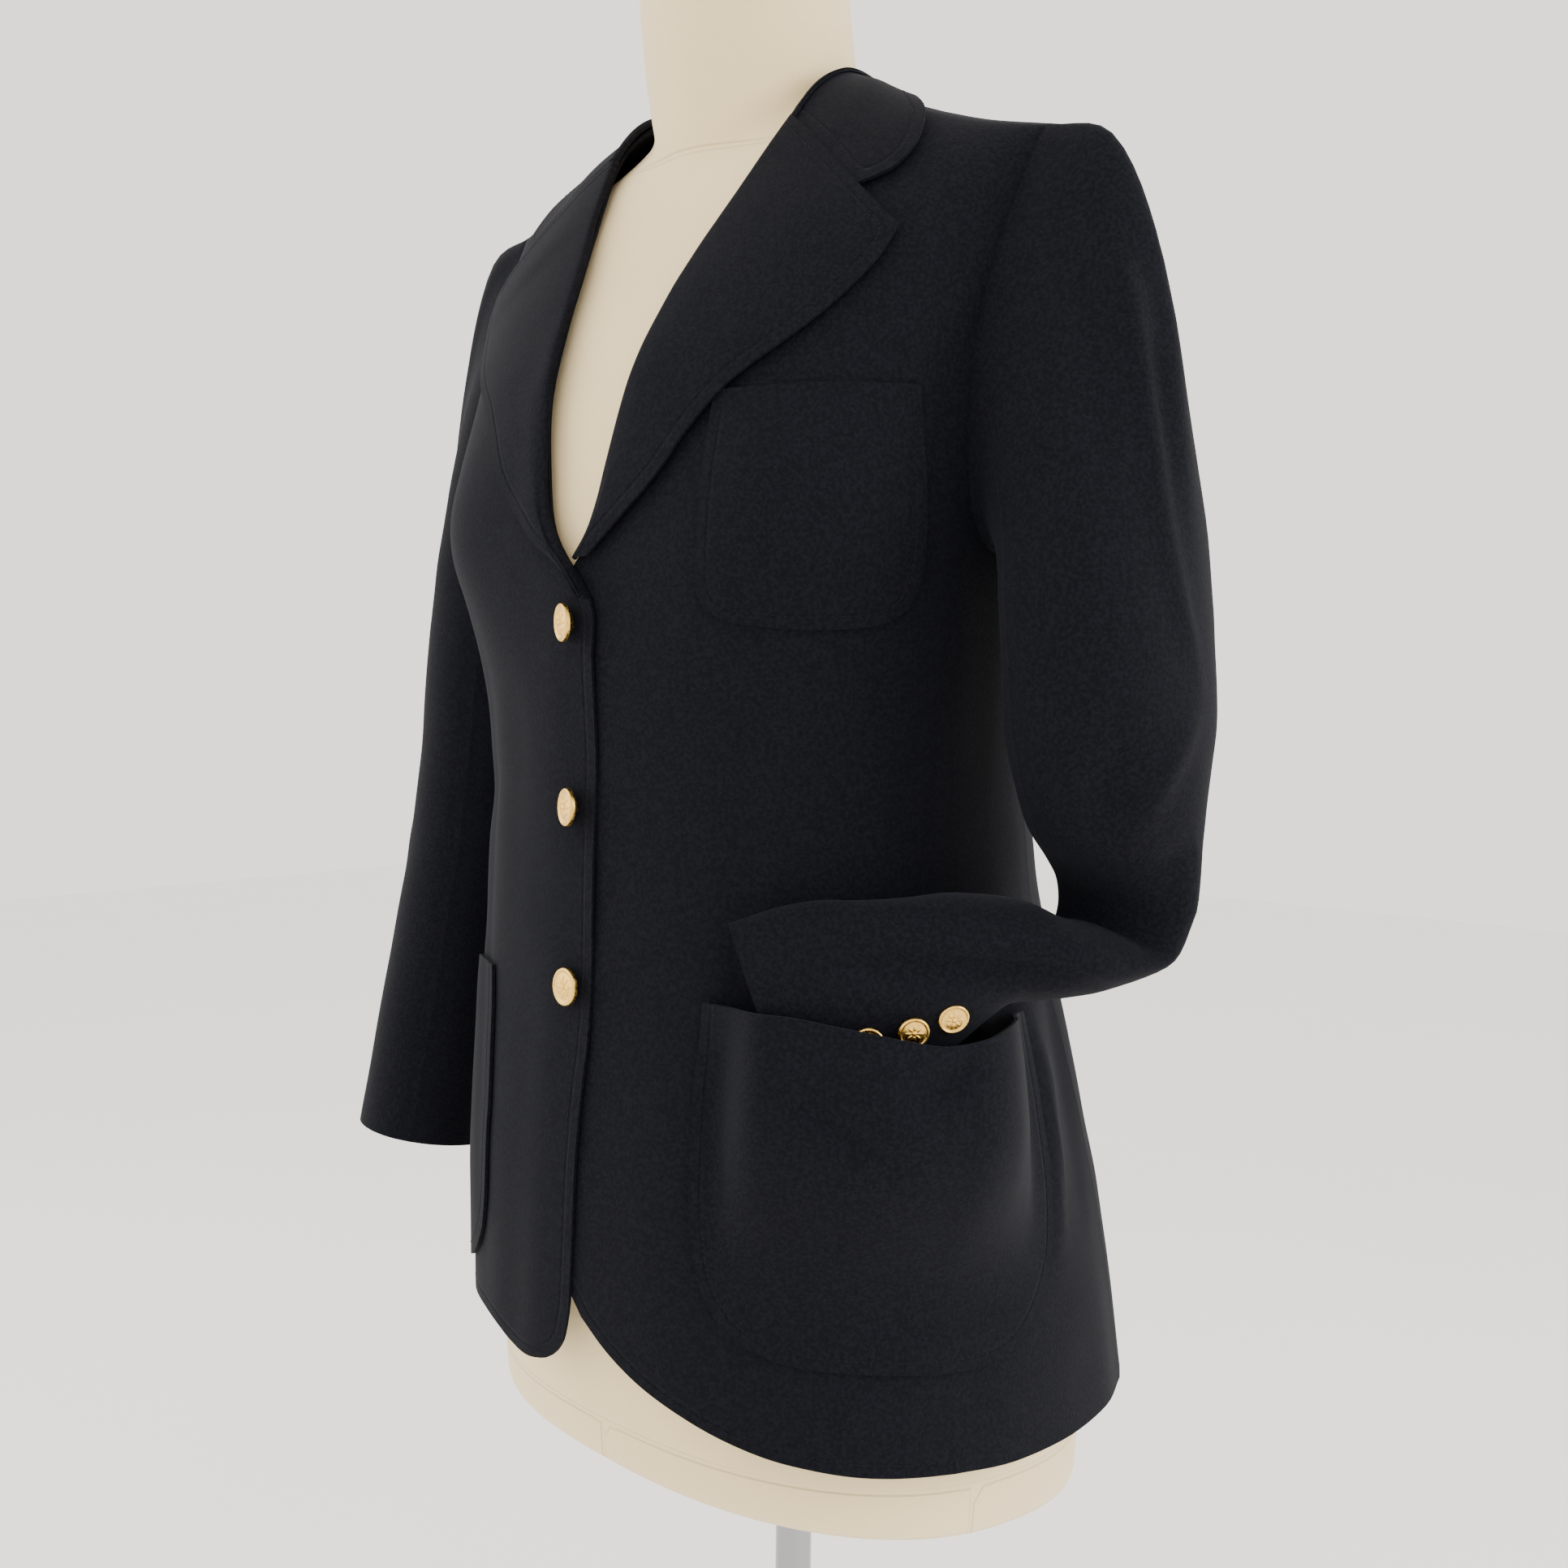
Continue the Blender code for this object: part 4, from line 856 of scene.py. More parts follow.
def form_ring(height):
    """The form's level outline: the cloth's own outline drawn in, joined with the neck."""
    level = height + FORM_SINK
    angle = np.linspace(-180, 180, 721)
    half = rows_at(min(level, TORSO_TOP), TORSO)[0]
    line = np.array(SHOULDER_LINE)
    reach = min(half, float(np.interp(-level, -line[:, 1], line[:, 0])))
    x, y = level_ring(angle, min(level, TORSO_TOP))
    x = x * reach / half
    drop = np.maximum(rows_at(np.abs(x), SHOULDER_LINE)[..., 0] - level, 0)
    curl = np.arccos(np.clip(1 - drop / SHOULDER_ROUND, 0, 1))
    y = y * np.sin(curl) + rows_at(min(level, TORSO_TOP), TORSO)[3]
    middle = NECK_MIDDLE + NECK_LEAN * max(0.0, height - LEAN_FROM)
    trunk = np.hypot(x, y - middle) - FORM_SLACK
    turn = np.degrees(np.arctan2(x, -(y - middle)))
    order = np.argsort(turn)
    want = np.linspace(-180, 180, FORM_POINTS, endpoint=False)
    radius = np.interp(want, turn[order], trunk[order], period=360)
    radius = np.maximum(radius, 0.0)
    radius -= rows_at(height, HIP_SLACK)[0]
    neck = rows_at(height, NECK_R)[0]
    if height > NECK_FROM:
        peak = np.maximum(radius, neck)
        both = np.exp((radius - peak) / NECK_BLEND) + np.exp((neck - peak) / NECK_BLEND)
        radius = peak + np.log(both) * NECK_BLEND
    turn = np.radians(want)
    x, y = radius * np.sin(turn), middle - radius * np.cos(turn)
    rise = (x * HIP_TILT[0] + y * HIP_TILT[1]) * np.clip((LEVEL_FROM - height) / LEVEL_TALL, 0, 1)
    return np.stack([x, y, height + rise], -1)
# %% [markdown]
# ## Finishes
# The cloth is a dense navy twill, almost black, which shines a little where it turns away from
# the eye. Its weave is far finer than a pixel from a step away, so it is given as a bump in the
# piece's own UV map, in metres. Two attributes tell the finish where the topstitching and the
# seams lie: the distance of each point from an edge that is stitched, and from a seam.

# %% Small helpers for node materials
def new_finish(name, colour, roughness, metallic=0.0):
    """A material with its shader and its node and link lists."""
    material = bpy.data.materials.new(name)
    material.use_nodes = True
    nodes, links = material.node_tree.nodes, material.node_tree.links
    shader = nodes["Principled BSDF"]
    shader.inputs["Base Color"].default_value = (*colour, 1.0)
    shader.inputs["Roughness"].default_value = roughness
    shader.inputs["Metallic"].default_value = metallic
    return material, shader, nodes, links


def maths_node(nodes, links, kind, first, second):
    """One Math node with two inputs, each a socket or a number."""
    node = nodes.new("ShaderNodeMath")
    node.operation = kind
    for socket, value in zip(node.inputs, (first, second)):
        if isinstance(value, bpy.types.NodeSocket):
            links.new(value, socket)
        else:
            socket.default_value = value
    return node.outputs[0]


def map_range(nodes, links, value, low, high, to_low, to_high):
    """A value turned from one range to another, and held inside it."""
    node = nodes.new("ShaderNodeMapRange")
    node.interpolation_type = "SMOOTHSTEP"
    links.new(value, node.inputs["Value"])
    for name, number in zip(("From Min", "From Max", "To Min", "To Max"), (low, high, to_low, to_high)):
        node.inputs[name].default_value = number
    return node.outputs["Result"]


def noise_at(nodes, links, vector, scale, detail):
    """Soft noise at a scale, in cycles a metre."""
    node = nodes.new("ShaderNodeTexNoise")
    links.new(vector, node.inputs["Vector"])
    node.inputs["Scale"].default_value = scale
    node.inputs["Detail"].default_value = detail
    return node.outputs["Fac"]


def mixed(nodes, links, share, dark, light):
    """A colour between two, by a share."""
    node = nodes.new("ShaderNodeMix")
    node.data_type = "RGBA"
    links.new(share, node.inputs["Factor"])
    node.inputs["A"].default_value = (*dark, 1.0)
    node.inputs["B"].default_value = (*light, 1.0)
    return node.outputs["Result"]


def bump(nodes, links, shader, height, metres):
    """A bump of that many metres, on top of any that the shader has."""
    node = nodes.new("ShaderNodeBump")
    node.inputs["Strength"].default_value = 1.0
    node.inputs["Distance"].default_value = metres
    links.new(height, node.inputs["Height"])
    if shader.inputs["Normal"].is_linked:
        links.new(shader.inputs["Normal"].links[0].from_socket, node.inputs["Normal"])
    links.new(node.outputs["Normal"], shader.inputs["Normal"])


# %% The navy twill
STITCH_IN = 0.0065
NAVY_DARK, NAVY_LIGHT = (0.0020, 0.0022, 0.0044), (0.0050, 0.0053, 0.0088)


def navy_twill():
    """Matt navy cloth with a fine diagonal, a groove under the topstitching and a line at seams."""
    material, shader, nodes, links = new_finish("navy_twill", NAVY_DARK, 0.86)
    shader.inputs["Sheen Weight"].default_value = 0.030
    shader.inputs["Sheen Roughness"].default_value = 0.40
    shader.inputs["Sheen Tint"].default_value = (0.62, 0.66, 0.78, 1.0)
    shader.inputs["Specular IOR Level"].default_value = 0.09
    flat = nodes.new("ShaderNodeUVMap").outputs["UV"]
    place = nodes.new("ShaderNodeTexCoord").outputs["Object"]
    tone = noise_at(nodes, links, place, 520.0, 6.0)
    tone = map_range(nodes, links, tone, 0.36, 0.68, 0.0, 1.0)
    links.new(mixed(nodes, links, tone, NAVY_DARK, NAVY_LIGHT), shader.inputs["Base Color"])
    diagonal = nodes.new("ShaderNodeTexWave")
    diagonal.bands_direction = "DIAGONAL"
    links.new(flat, diagonal.inputs["Vector"])
    diagonal.inputs["Scale"].default_value = 420.0
    diagonal.inputs["Distortion"].default_value = 1.2
    bump(nodes, links, shader, diagonal.outputs["Fac"], 0.00006)
    bump(nodes, links, shader, noise_at(nodes, links, flat, 700.0, 4.0), 0.00030)
    edge = nodes.new("ShaderNodeAttribute")
    edge.attribute_name = "edge_far"
    off = maths_node(nodes, links, "SUBTRACT", edge.outputs["Fac"], STITCH_IN)
    off = maths_node(nodes, links, "ABSOLUTE", off, 0.0)
    groove = map_range(nodes, links, off, 0.0, 0.0016, 0.0, 1.0)
    bump(nodes, links, shader, groove, 0.0005)
    seam = nodes.new("ShaderNodeAttribute")
    seam.attribute_name = "seam_far"
    line = map_range(nodes, links, seam.outputs["Fac"], 0.0, 0.0014, 0.0, 1.0)
    bump(nodes, links, shader, line, 0.0008)
    return material


NAVY = navy_twill()
print("cloth finish:", NAVY.name)

# %% [markdown]
# ## From a coarse grid to a cloth piece
# Each piece is a grid of points on its surface. The grid is made finer with a smooth curve
# through its points, so that seams shared by two pieces stay shared. Then folds are pressed in,
# the sheet gets a UV map in metres, and a Solidify modifier gives it the thickness of cloth.

# %% Make a grid finer
def finer(grid, times=FINER, axis=0):
    """A smooth curve through the points along one axis, with more points on it."""
    grid = np.moveaxis(np.asarray(grid, float), axis, 0)
    slope = np.gradient(grid, axis=0)
    t = (np.arange(times) / times).reshape((1, times) + (1,) * (grid.ndim - 1))
    low, high = grid[:-1, None], grid[1:, None]
    out = (
        (2 * t**3 - 3 * t**2 + 1) * low
        + (t**3 - 2 * t**2 + t) * slope[:-1, None]
        + (3 * t**2 - 2 * t**3) * high
        + (t**3 - t**2) * slope[1:, None]
    )
    out = out.reshape((-1,) + grid.shape[1:])
    return np.moveaxis(np.concatenate([out, grid[-1:]]), 0, axis)


def finer_both(grid, rows=FINER, columns=FINER):
    """A grid made finer both ways."""
    return finer(finer(grid, rows, 0), columns, 1)


def ways_off(grid):
    """The way off a sheet at each of its points, on one side of it."""
    way = np.cross(np.gradient(grid, axis=1), np.gradient(grid, axis=0))
    return way / np.maximum(np.linalg.norm(way, axis=-1, keepdims=True), 1e-12)


# %% Distances, and folds pressed into cloth
def far_from(points, line):
    """How far points are from a line of points, and the share of the line where it is nearest."""
    line = np.asarray(line, float)
    flat = points.reshape(-1, 3)
    best = np.full(len(flat), 9.0)
    share = np.zeros(len(flat))
    reach = np.r_[0, np.cumsum(np.linalg.norm(np.diff(line, axis=0), axis=1))]
    for k in range(len(line) - 1):
        step = line[k + 1] - line[k]
        t = np.clip((flat - line[k]) @ step / max(step @ step, 1e-12), 0, 1)
        far = np.linalg.norm(flat - line[k] - t[:, None] * step, axis=1)
        nearer = far < best
        best[nearer] = far[nearer]
        share[nearer] = (reach[k] + t[nearer] * (reach[k + 1] - reach[k])) / reach[-1]
    return best.reshape(points.shape[:-1]), share.reshape(points.shape[:-1])


def eased(line, count=16):
    """A smooth line through a few points."""
    return along(line, count, (1.0, 1.0))


def pressed(grid, folds):
    """The grid with folds in it: each is a line, a half width and a height, less than 0 for a trough."""
    grid = grid.copy()
    way = ways_off(grid)
    for line, half, height in folds:
        far, share = far_from(grid, eased(line))
        fade = np.sin(np.pi * np.clip(share, 0.02, 0.98)) ** 0.6
        grid += way * (height * fade * np.exp(-((far / half) ** 2)))[..., None]
    return grid


def uneven(grid, metres, size):
    """The grid with the soft unevenness that all hanging cloth has."""
    flat = grid.reshape(-1, 3)
    lump = [mathutils.noise.noise(mathutils.Vector(p / size)) for p in flat]
    return grid + ways_off(grid) * (np.array(lump).reshape(grid.shape[:-1]) * metres)[..., None]


# %% A cloth piece with its declarations
cut_sizes = {}
edge_paths = []
STILL_WIDE = 0.016
UNEVEN_HIGH, UNEVEN_SIZE = 0.0009, 0.045
BODY_TIMES, SLEEVE_TIMES, POCKET_TIMES, LEAF_TIMES = (6, 5), (5, 5), (6, 6), (4, 4)
CAP_TUCK = 0.003



def lengths_over(grid, axis):
    """The way over a grid to each of its points, along one axis, in metres."""
    steps = np.linalg.norm(np.diff(grid, axis=axis), axis=-1)
    start = np.zeros_like(steps.take([0], axis))
    return np.concatenate([start, np.cumsum(steps, axis=axis)], axis)


def distances(grid, lines):
    """How far each point of a grid is from the nearest of some lines."""
    far = np.full(grid.shape[:2], 1.0)
    for line in lines:
        far = np.minimum(far, far_from(grid, line)[0])
    return far


def round_corner(grid, radius):
    """The grid with the corner of its first row and column rounded off."""
    across, down = lengths_over(grid, 1), lengths_over(grid, 0)
    u, v = np.clip(1 - across / radius, 0, 1), np.clip(1 - down / radius, 0, 1)
    more_across = radius * (u - u * np.sqrt(1 - v**2 / 2))
    more_down = radius * (v - v * np.sqrt(1 - u**2 / 2))
    steps = []
    for axis in (1, 0):
        way = np.gradient(grid, axis=axis)
        steps.append(way / np.linalg.norm(way, axis=-1, keepdims=True))
    return grid + steps[0] * more_across[..., None] + steps[1] * more_down[..., None]


def finish_sheet(piece, thick):
    """Gives a sheet its thickness, inwards, and smooth faces."""
    bpy.context.view_layer.objects.active = piece
    piece.select_set(True)
    wall = piece.modifiers.new("wall", "SOLIDIFY")
    wall.thickness = thick
    wall.offset = -1.0
    bpy.ops.object.modifier_apply(modifier=wall.name)
    bpy.ops.object.shade_smooth_by_angle(angle=math.radians(50))
    piece.select_set(False)


def cloth_piece(
    name,
    walls,
    folds=(),
    side="left",
    stitched=(),
    seams=(),
    times=(FINER, FINER),
    still=(),
    tuck=0.0,
    corner=0.0,
):
    """A thin sheet of navy cloth in place of its solid, from the face and inside of its wall."""
    face, inside = (finer_both(wall, *times) for wall in walls)
    if corner:
        face, inside = round_corner(face, corner), round_corner(inside, corner)
    if tuck:
        inwards = (inside[0] - face[0]) / np.linalg.norm(inside[0] - face[0], axis=-1, keepdims=True)
        back = (face[0] - face[1]) / np.linalg.norm(face[0] - face[1], axis=-1, keepdims=True)
        under = face[0] + inwards * (CLOTH + LAYER_GAP / 3) + back * tuck
        face, inside = (
            np.concatenate([under[None], face]),
            np.concatenate([under[None] + inwards * CLOTH, inside]),
        )
    names = {"left": "right", "right": "left"}
    if (ways_off(face) * (face - inside)).sum() < 0:
        face = face[:, ::-1]
        stitched = [names.get(edge, edge) for edge in stitched]
    moved = uneven(pressed(face, folds), UNEVEN_HIGH, UNEVEN_SIZE)
    grid = face + (moved - face) * smooth(distances(face, still) / STILL_WIDE)[..., None]
    sides = {"bottom": grid[0], "top": grid[-1], "left": grid[:, 0], "right": grid[:, -1]}
    lines = [sides[edge] for edge in stitched]
    edge_far, seam_far = distances(grid, lines), distances(grid, seams)
    across, down = lengths_over(grid, 1), lengths_over(grid, 0)
    flat_map = np.stack([across - across[:, grid.shape[1] // 2, None], down], -1).reshape(-1, 2)
    crossed = np.cross(grid[1:, 1:] - grid[:-1, :-1], grid[1:, :-1] - grid[:-1, 1:])
    area = float(np.linalg.norm(crossed, axis=-1).sum() / 2)
    index = np.arange(edge_far.size).reshape(edge_far.shape)
    faces = np.stack([index[:-1, :-1], index[:-1, 1:], index[1:, 1:], index[1:, :-1]], -1).reshape(-1, 4)
    if side == "right":
        grid, faces = grid * (-1.0, 1.0, 1.0), faces[:, ::-1]
    mesh = bpy.data.meshes.new(name + "_cloth")
    mesh.from_pydata(grid.reshape(-1, 3).tolist(), [], faces.tolist())
    for attribute, value in (("edge_far", edge_far), ("seam_far", seam_far)):
        mesh.attributes.new(attribute, "FLOAT", "POINT").data.foreach_set("value", value.reshape(-1))
    loops = np.zeros(len(mesh.loops), int)
    mesh.loops.foreach_get("vertex_index", loops)
    mesh.uv_layers.new(name="UVMap").data.foreach_set("uv", flat_map[loops].reshape(-1))
    mesh.materials.append(NAVY)
    piece = bpy.data.objects.new(name + "_cloth", mesh)
    bpy.context.scene.collection.objects.link(piece)
    finish_sheet(piece, CLOTH)
    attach(piece, "root")
    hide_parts(name)
    width, length = float(across[:, -1].max()), float(down[-1].max())
    cut_sizes[name] = (round(width, 3), round(length, 3), round(area, 4))
    for edge in stitched:
        edge_paths.append((name, grid, edge_far, edge, side))
    print(name, "cut", cut_sizes[name], "points", edge_far.size)
    return piece


# %% [markdown]
# ## Fronts, side panels and backs
# The body of the jacket is cut in six pieces. A dart runs from each chest pocket down to the hip
# pocket, and a short one points from the armhole to the bust. They are seams inside a piece, so
# they are lines in its finish with a soft hollow beside them. The cloth also sags into a few
# long folds where nothing holds it out: behind the hip pockets, at the waist and across the back.

# %% Folds in the body of the jacket
def at(places, side="left"):
    """Points on the cloth of one side for rows of (degrees round, way down)."""
    places = np.asarray(places, float)
    return lifted(places, lift_at(side, places))


def at_heights(places, side="left"):
    """Points on the cloth of one side for rows of (degrees round, height)."""
    return at(cut_of(places), side)


BODY_FOLDS = {
    "left": (
        (at([(34.6, 0.300), (34.6, 0.423), (34.1, 0.475), (26.0, 0.679), (25.4, 0.705)]), 0.0100, -0.0014),
        (at([(94.1, 0.500), (96.8, 0.546), (95.7, 0.590), (93.5, 0.640)]), 0.0085, 0.0042),
        (at([(86.0, 0.480), (88.5, 0.540), (87.5, 0.600)]), 0.0100, -0.0034),
        (at([(104.0, 0.470), (106.0, 0.540), (104.5, 0.640)]), 0.0130, -0.0030),
        (at([(62.0, 0.400), (48.0, 0.418), (33.0, 0.426)]), 0.0180, -0.0016),
        (at([(69.0, 0.215), (72.0, 0.190), (74.5, 0.160)]), 0.0140, -0.0018),
        (at_heights([(160.0, 1.020), (140.0, 1.008), (118.0, 1.020)]), 0.0150, -0.0040),
        (at_heights([(170.0, 0.975), (150.0, 0.962), (124.0, 0.968)]), 0.0140, 0.0028),
        (at_heights([(112.0, 1.200), (124.0, 1.150), (140.0, 1.120)]), 0.0140, -0.0030),
        (at_heights([(140.0, 0.900), (136.0, 0.800), (133.0, 0.700)]), 0.0200, -0.0040),
        (at_heights([(160.0, 0.880), (158.0, 0.780), (157.0, 0.660)]), 0.0200, 0.0030),
    ),
    "right": (
        (
            at([(34.6, 0.300), (34.6, 0.423), (34.1, 0.475), (26.0, 0.679), (25.4, 0.705)], "right"),
            0.0100,
            -0.0014,
        ),
        (at_heights([(92.0, 0.900), (95.0, 0.820), (93.0, 0.730)], "right"), 0.0120, 0.0030),
        (at_heights([(104.0, 0.880), (106.0, 0.800), (105.0, 0.680)], "right"), 0.0140, -0.0034),
        (at([(60.0, 0.404), (46.0, 0.414), (30.0, 0.420)], "right"), 0.0170, -0.0018),
        (at([(68.0, 0.225), (71.5, 0.195), (74.5, 0.150)], "right"), 0.0130, -0.0020),
        (at_heights([(164.0, 1.030), (142.0, 1.018), (120.0, 1.034)], "right"), 0.0160, -0.0036),
        (at_heights([(168.0, 0.990), (150.0, 0.975), (128.0, 0.985)], "right"), 0.0130, 0.0024),
        (at_heights([(112.0, 1.210), (126.0, 1.165), (144.0, 1.140)], "right"), 0.0130, -0.0028),
        (at_heights([(144.0, 0.880), (141.0, 0.790), (139.0, 0.700)], "right"), 0.0180, -0.0036),
    ),
}
ARMHOLE = np.concatenate(
    [at(armhole("front", np.linspace(0, 1, 60))), at(armhole("back", np.linspace(1, 0, 60)))]
)
NECK_SEAM = yoke(along(COLLAR_SEAM, 80))[0]
DARTS = (
    at([(34.6, 0.331), (34.6, 0.423), (34.1, 0.475), (26.0, 0.679), (25.2, 0.720)]),
    at([(69.8, 0.266), (76.0, 0.272), (84.2, 0.279)]),
)

# %% The six body pieces
CORNER_R = 0.014


def walls_of(cut, lift):
    """A body piece's face and inside."""
    return lifted(cut, lift), lifted(cut, lift - CLOTH)


for side in ("left", "right"):
    for name, cut, stitched in (
        ("front", front_cut(side), ("left", "bottom")),
        ("side_panel", side_cut(), ()),
        ("back", back_cut(), ()),
    ):
        seams = [eased(dart, 40) for dart in DARTS] if name == "front" else ()
        walls = walls_of(cut, lift_at(side, cut))
        corner = CORNER_R if (name, side) == ("front", "right") else 0.0
        cloth_piece(
            f"{name}_{side}",
            walls,
            BODY_FOLDS[side],
            side,
            stitched,
            seams,
            BODY_TIMES,
            still=(ARMHOLE, NECK_SEAM),
            corner=corner,
        )

# %% [markdown]
# ## Lapels and collar
# Both are folded cloth: a rolled edge that comes up off the front, then a leaf that lies on it.
# Their edges are topstitched a foot's width in, as all edges of this jacket are.

# %% The two lapels
for side in ("left", "right"):
    cloth_piece(
        f"lapel_{side}",
        lapel_walls(side),
        (),
        side,
        ("right", "top"),
        (),
        LEAF_TIMES,
        (NECK_SEAM,),
    )

# %% The collar
collar = collar_middle()
collar_way = ways_out(collar, False) * (CLOTH / 2)
COLLAR_EDGES = ("bottom", "top", "right")
cloth_piece(
    "collar",
    (collar + collar_way, collar - collar_way),
    (),
    "left",
    COLLAR_EDGES,
    (),
    LEAF_TIMES,
)

# %% [markdown]
# ## Sleeves
# The sleeve is one tube, split by its two seams into a top and an under sleeve, so a fold that
# crosses a seam goes on in both. The left arm bends: long ridges run down from the cap, and at
# the elbow the cloth buckles into short deep folds on the inner side of the bend.

# %% Folds in the sleeves
SLEEVE_FOLDS = {
    "left": (
        (
            [
                (0.2258, -0.0691, 1.2776),
                (0.2364, -0.0736, 1.2521),
                (0.2391, -0.0772, 1.2368),
            ],
            0.0060,
            0.0034,
        ),
        (
            [
                (0.2371, -0.0688, 1.2661),
                (0.2522, -0.0651, 1.2444),
                (0.2608, -0.0666, 1.2168),
                (0.2749, -0.0667, 1.1475),
                (0.2819, -0.0448, 1.0617),
            ],
            0.0065,
            0.0040,
        ),
        (
            [
                (0.2511, -0.0522, 1.2660),
                (0.2597, -0.0485, 1.2450),
                (0.2667, -0.0525, 1.2156),
            ],
            0.0060,
            -0.0036,
        ),
        (
            [
                (0.2460, -0.0560, 1.2700),
                (0.2560, -0.0560, 1.2400),
                (0.2650, -0.0580, 1.2000),
                (0.2740, -0.0550, 1.1400),
            ],
            0.0060,
            -0.0034,
        ),
        (
            [
                (0.2300, -0.0800, 1.2560),
                (0.2420, -0.0850, 1.2200),
                (0.2500, -0.0880, 1.1700),
            ],
            0.0090,
            -0.0036,
        ),
        (
            [
                (0.1531, -0.1599, 0.9223),
                (0.1806, -0.1403, 0.9225),
                (0.2112, -0.1115, 0.9213),
                (0.2357, -0.0876, 0.9198),
                (0.2465, -0.0566, 0.9110),
            ],
            0.0070,
            -0.0060,
        ),
        (
            [
                (0.1700, -0.1560, 0.9050),
                (0.1950, -0.1320, 0.9060),
                (0.2250, -0.1080, 0.9060),
                (0.2500, -0.0800, 0.9020),
            ],
            0.0080,
            0.0040,
        ),
        (
            [
                (0.2760, -0.0300, 0.9800),
                (0.2700, -0.0600, 0.9600),
                (0.2450, -0.0850, 0.9480),
            ],
            0.0090,
            -0.0056,
        ),
        (
            [
                (0.2770, -0.0200, 0.9500),
                (0.2680, -0.0550, 0.9380),
                (0.2420, -0.0850, 0.9330),
            ],
            0.0075,
            0.0045,
        ),
        (
            [
                (0.2600, -0.0800, 1.0400),
                (0.2560, -0.0850, 1.0000),
                (0.2460, -0.0780, 0.9700),
            ],
            0.0100,
            -0.0046,
        ),
        (
            [
                (0.2790, -0.0450, 1.0500),
                (0.2760, -0.0650, 1.0100),
                (0.2640, -0.0760, 0.9750),
            ],
            0.0080,
            0.0036,
        ),
        (
            [
                (0.2400, 0.0150, 1.0200),
                (0.2550, 0.0100, 0.9700),
                (0.2600, 0.0000, 0.9300),
            ],
            0.0120,
            0.0040,
        ),
    ),
    "right": (
        (
            [
                (0.2380, -0.0750, 1.2500),
                (0.2480, -0.0780, 1.1800),
                (0.2520, -0.0800, 1.1000),
            ],
            0.0100,
            -0.0034,
        ),
        (
            [
                (0.2600, -0.0600, 1.2400),
                (0.2680, -0.0620, 1.1600),
                (0.2700, -0.0640, 1.0600),
            ],
            0.0090,
            0.0024,
        ),
        (
            [
                (0.2650, -0.0850, 1.0200),
                (0.2720, -0.0700, 0.9900),
                (0.2760, -0.0500, 0.9800),
            ],
            0.0110,
            -0.0040,
        ),
        (
            [
                (0.2550, -0.1050, 0.9600),
                (0.2750, -0.0900, 0.9350),
                (0.2800, -0.0700, 0.9250),
            ],
            0.0120,
            0.0030,
        ),
        (
            [
                (0.2500, 0.0020, 1.0400),
                (0.2600, 0.0000, 0.9600),
                (0.2700, -0.0150, 0.8700),
            ],
            0.0130,
            -0.0034,
        ),
    ),
}

# %% Top and under sleeves
for side in ("left", "right"):
    for name, first, last in (
        ("top", BACK_SEAM_AT, RING + FRONT_SEAM),
        ("under", FRONT_SEAM, BACK_SEAM_AT),
    ):
        walls = sleeve_walls(side, first, last)
        cloth_piece(
            f"{name}_sleeve_{side}",
            walls,
            SLEEVE_FOLDS[side],
            side,
            (),
            (),
            SLEEVE_TIMES,
            still=(ARMHOLE,),
            tuck=CAP_TUCK,
        )

# %% [markdown]
# ## Patch pockets
# The pockets are topstitched round three sides, and their mouths are turned in. The tucked cuff
# fills the left hip pocket, and from its corners the cloth pulls in short diagonal folds.

# %% The three pockets
POCKET_FOLDS = (
    ([(0.1429, -0.1752, 0.8582), (0.1738, -0.1580, 0.8362), (0.1868, -0.1402, 0.8186)], 0.0065, -0.0042),
    ([(0.2070, -0.1113, 0.8794), (0.1984, -0.1287, 0.8651), (0.1893, -0.1423, 0.8588)], 0.0060, -0.0036),
    ([(0.1500, -0.1850, 0.8500), (0.1790, -0.1650, 0.8300), (0.1950, -0.1450, 0.8120)], 0.0075, 0.0026),
)
for name, kind, side, outline, folds in (
    ("chest_pocket", "chest", "left", CHEST_POCKET, ()),
    ("hip_pocket_left", "hip", "left", HIP_POCKET, POCKET_FOLDS),
    ("hip_pocket_right", "hip", "right", HIP_POCKET, ()),
):
    cut = pocket_cut(outline, POCKET_CELLS[kind])
    walls = walls_of(cut, pocket_lift(kind, side, cut))
    cloth_piece(
        name,
        walls,
        BODY_FOLDS[side] + folds,
        side,
        ("left", "bottom", "right"),
        (),
        POCKET_TIMES,
    )

# %% [markdown]
# ## Topstitching
# A stitch is about 2.4 mm of thread between two holes. One small bead with pointed ends stands
# for it, and it is repeated along the line that lies a foot's width inside each stitched edge.

# %% The line a foot's width inside an edge
def stitch_line(grid, edge_far, edge):
    """Points a foot's width in from one side of a grid, with the way off the cloth there."""
    turned_grid = {
        "left": (grid, edge_far),
        "right": (grid[:, ::-1], edge_far[:, ::-1]),
        "bottom": (grid.transpose(1, 0, 2), edge_far.T),
        "top": (grid[::-1].transpose(1, 0, 2), edge_far[::-1].T),
    }[edge]
    points, far = turned_grid
    line = []
    for row, row_far in zip(points, far):
        past = np.nonzero(row_far >= STITCH_IN)[0]
        if not len(past) or past[0] == 0:
            continue
        k = past[0]
        share = (STITCH_IN - row_far[k - 1]) / (row_far[k] - row_far[k - 1])
        line.append(row[k - 1] * (1 - share) + row[k] * share)
    return np.array(line)


STITCH_LONG, STITCH_STEP = 0.0024, 0.0032
STITCH_FIRST, STITCH_LAST = 0.0012, 0.0030
THREAD_WIDE, THREAD_HIGH, THREAD_LOW, THREAD_LIFT = 0.00028, 0.00022, 0.0002, 0.00005
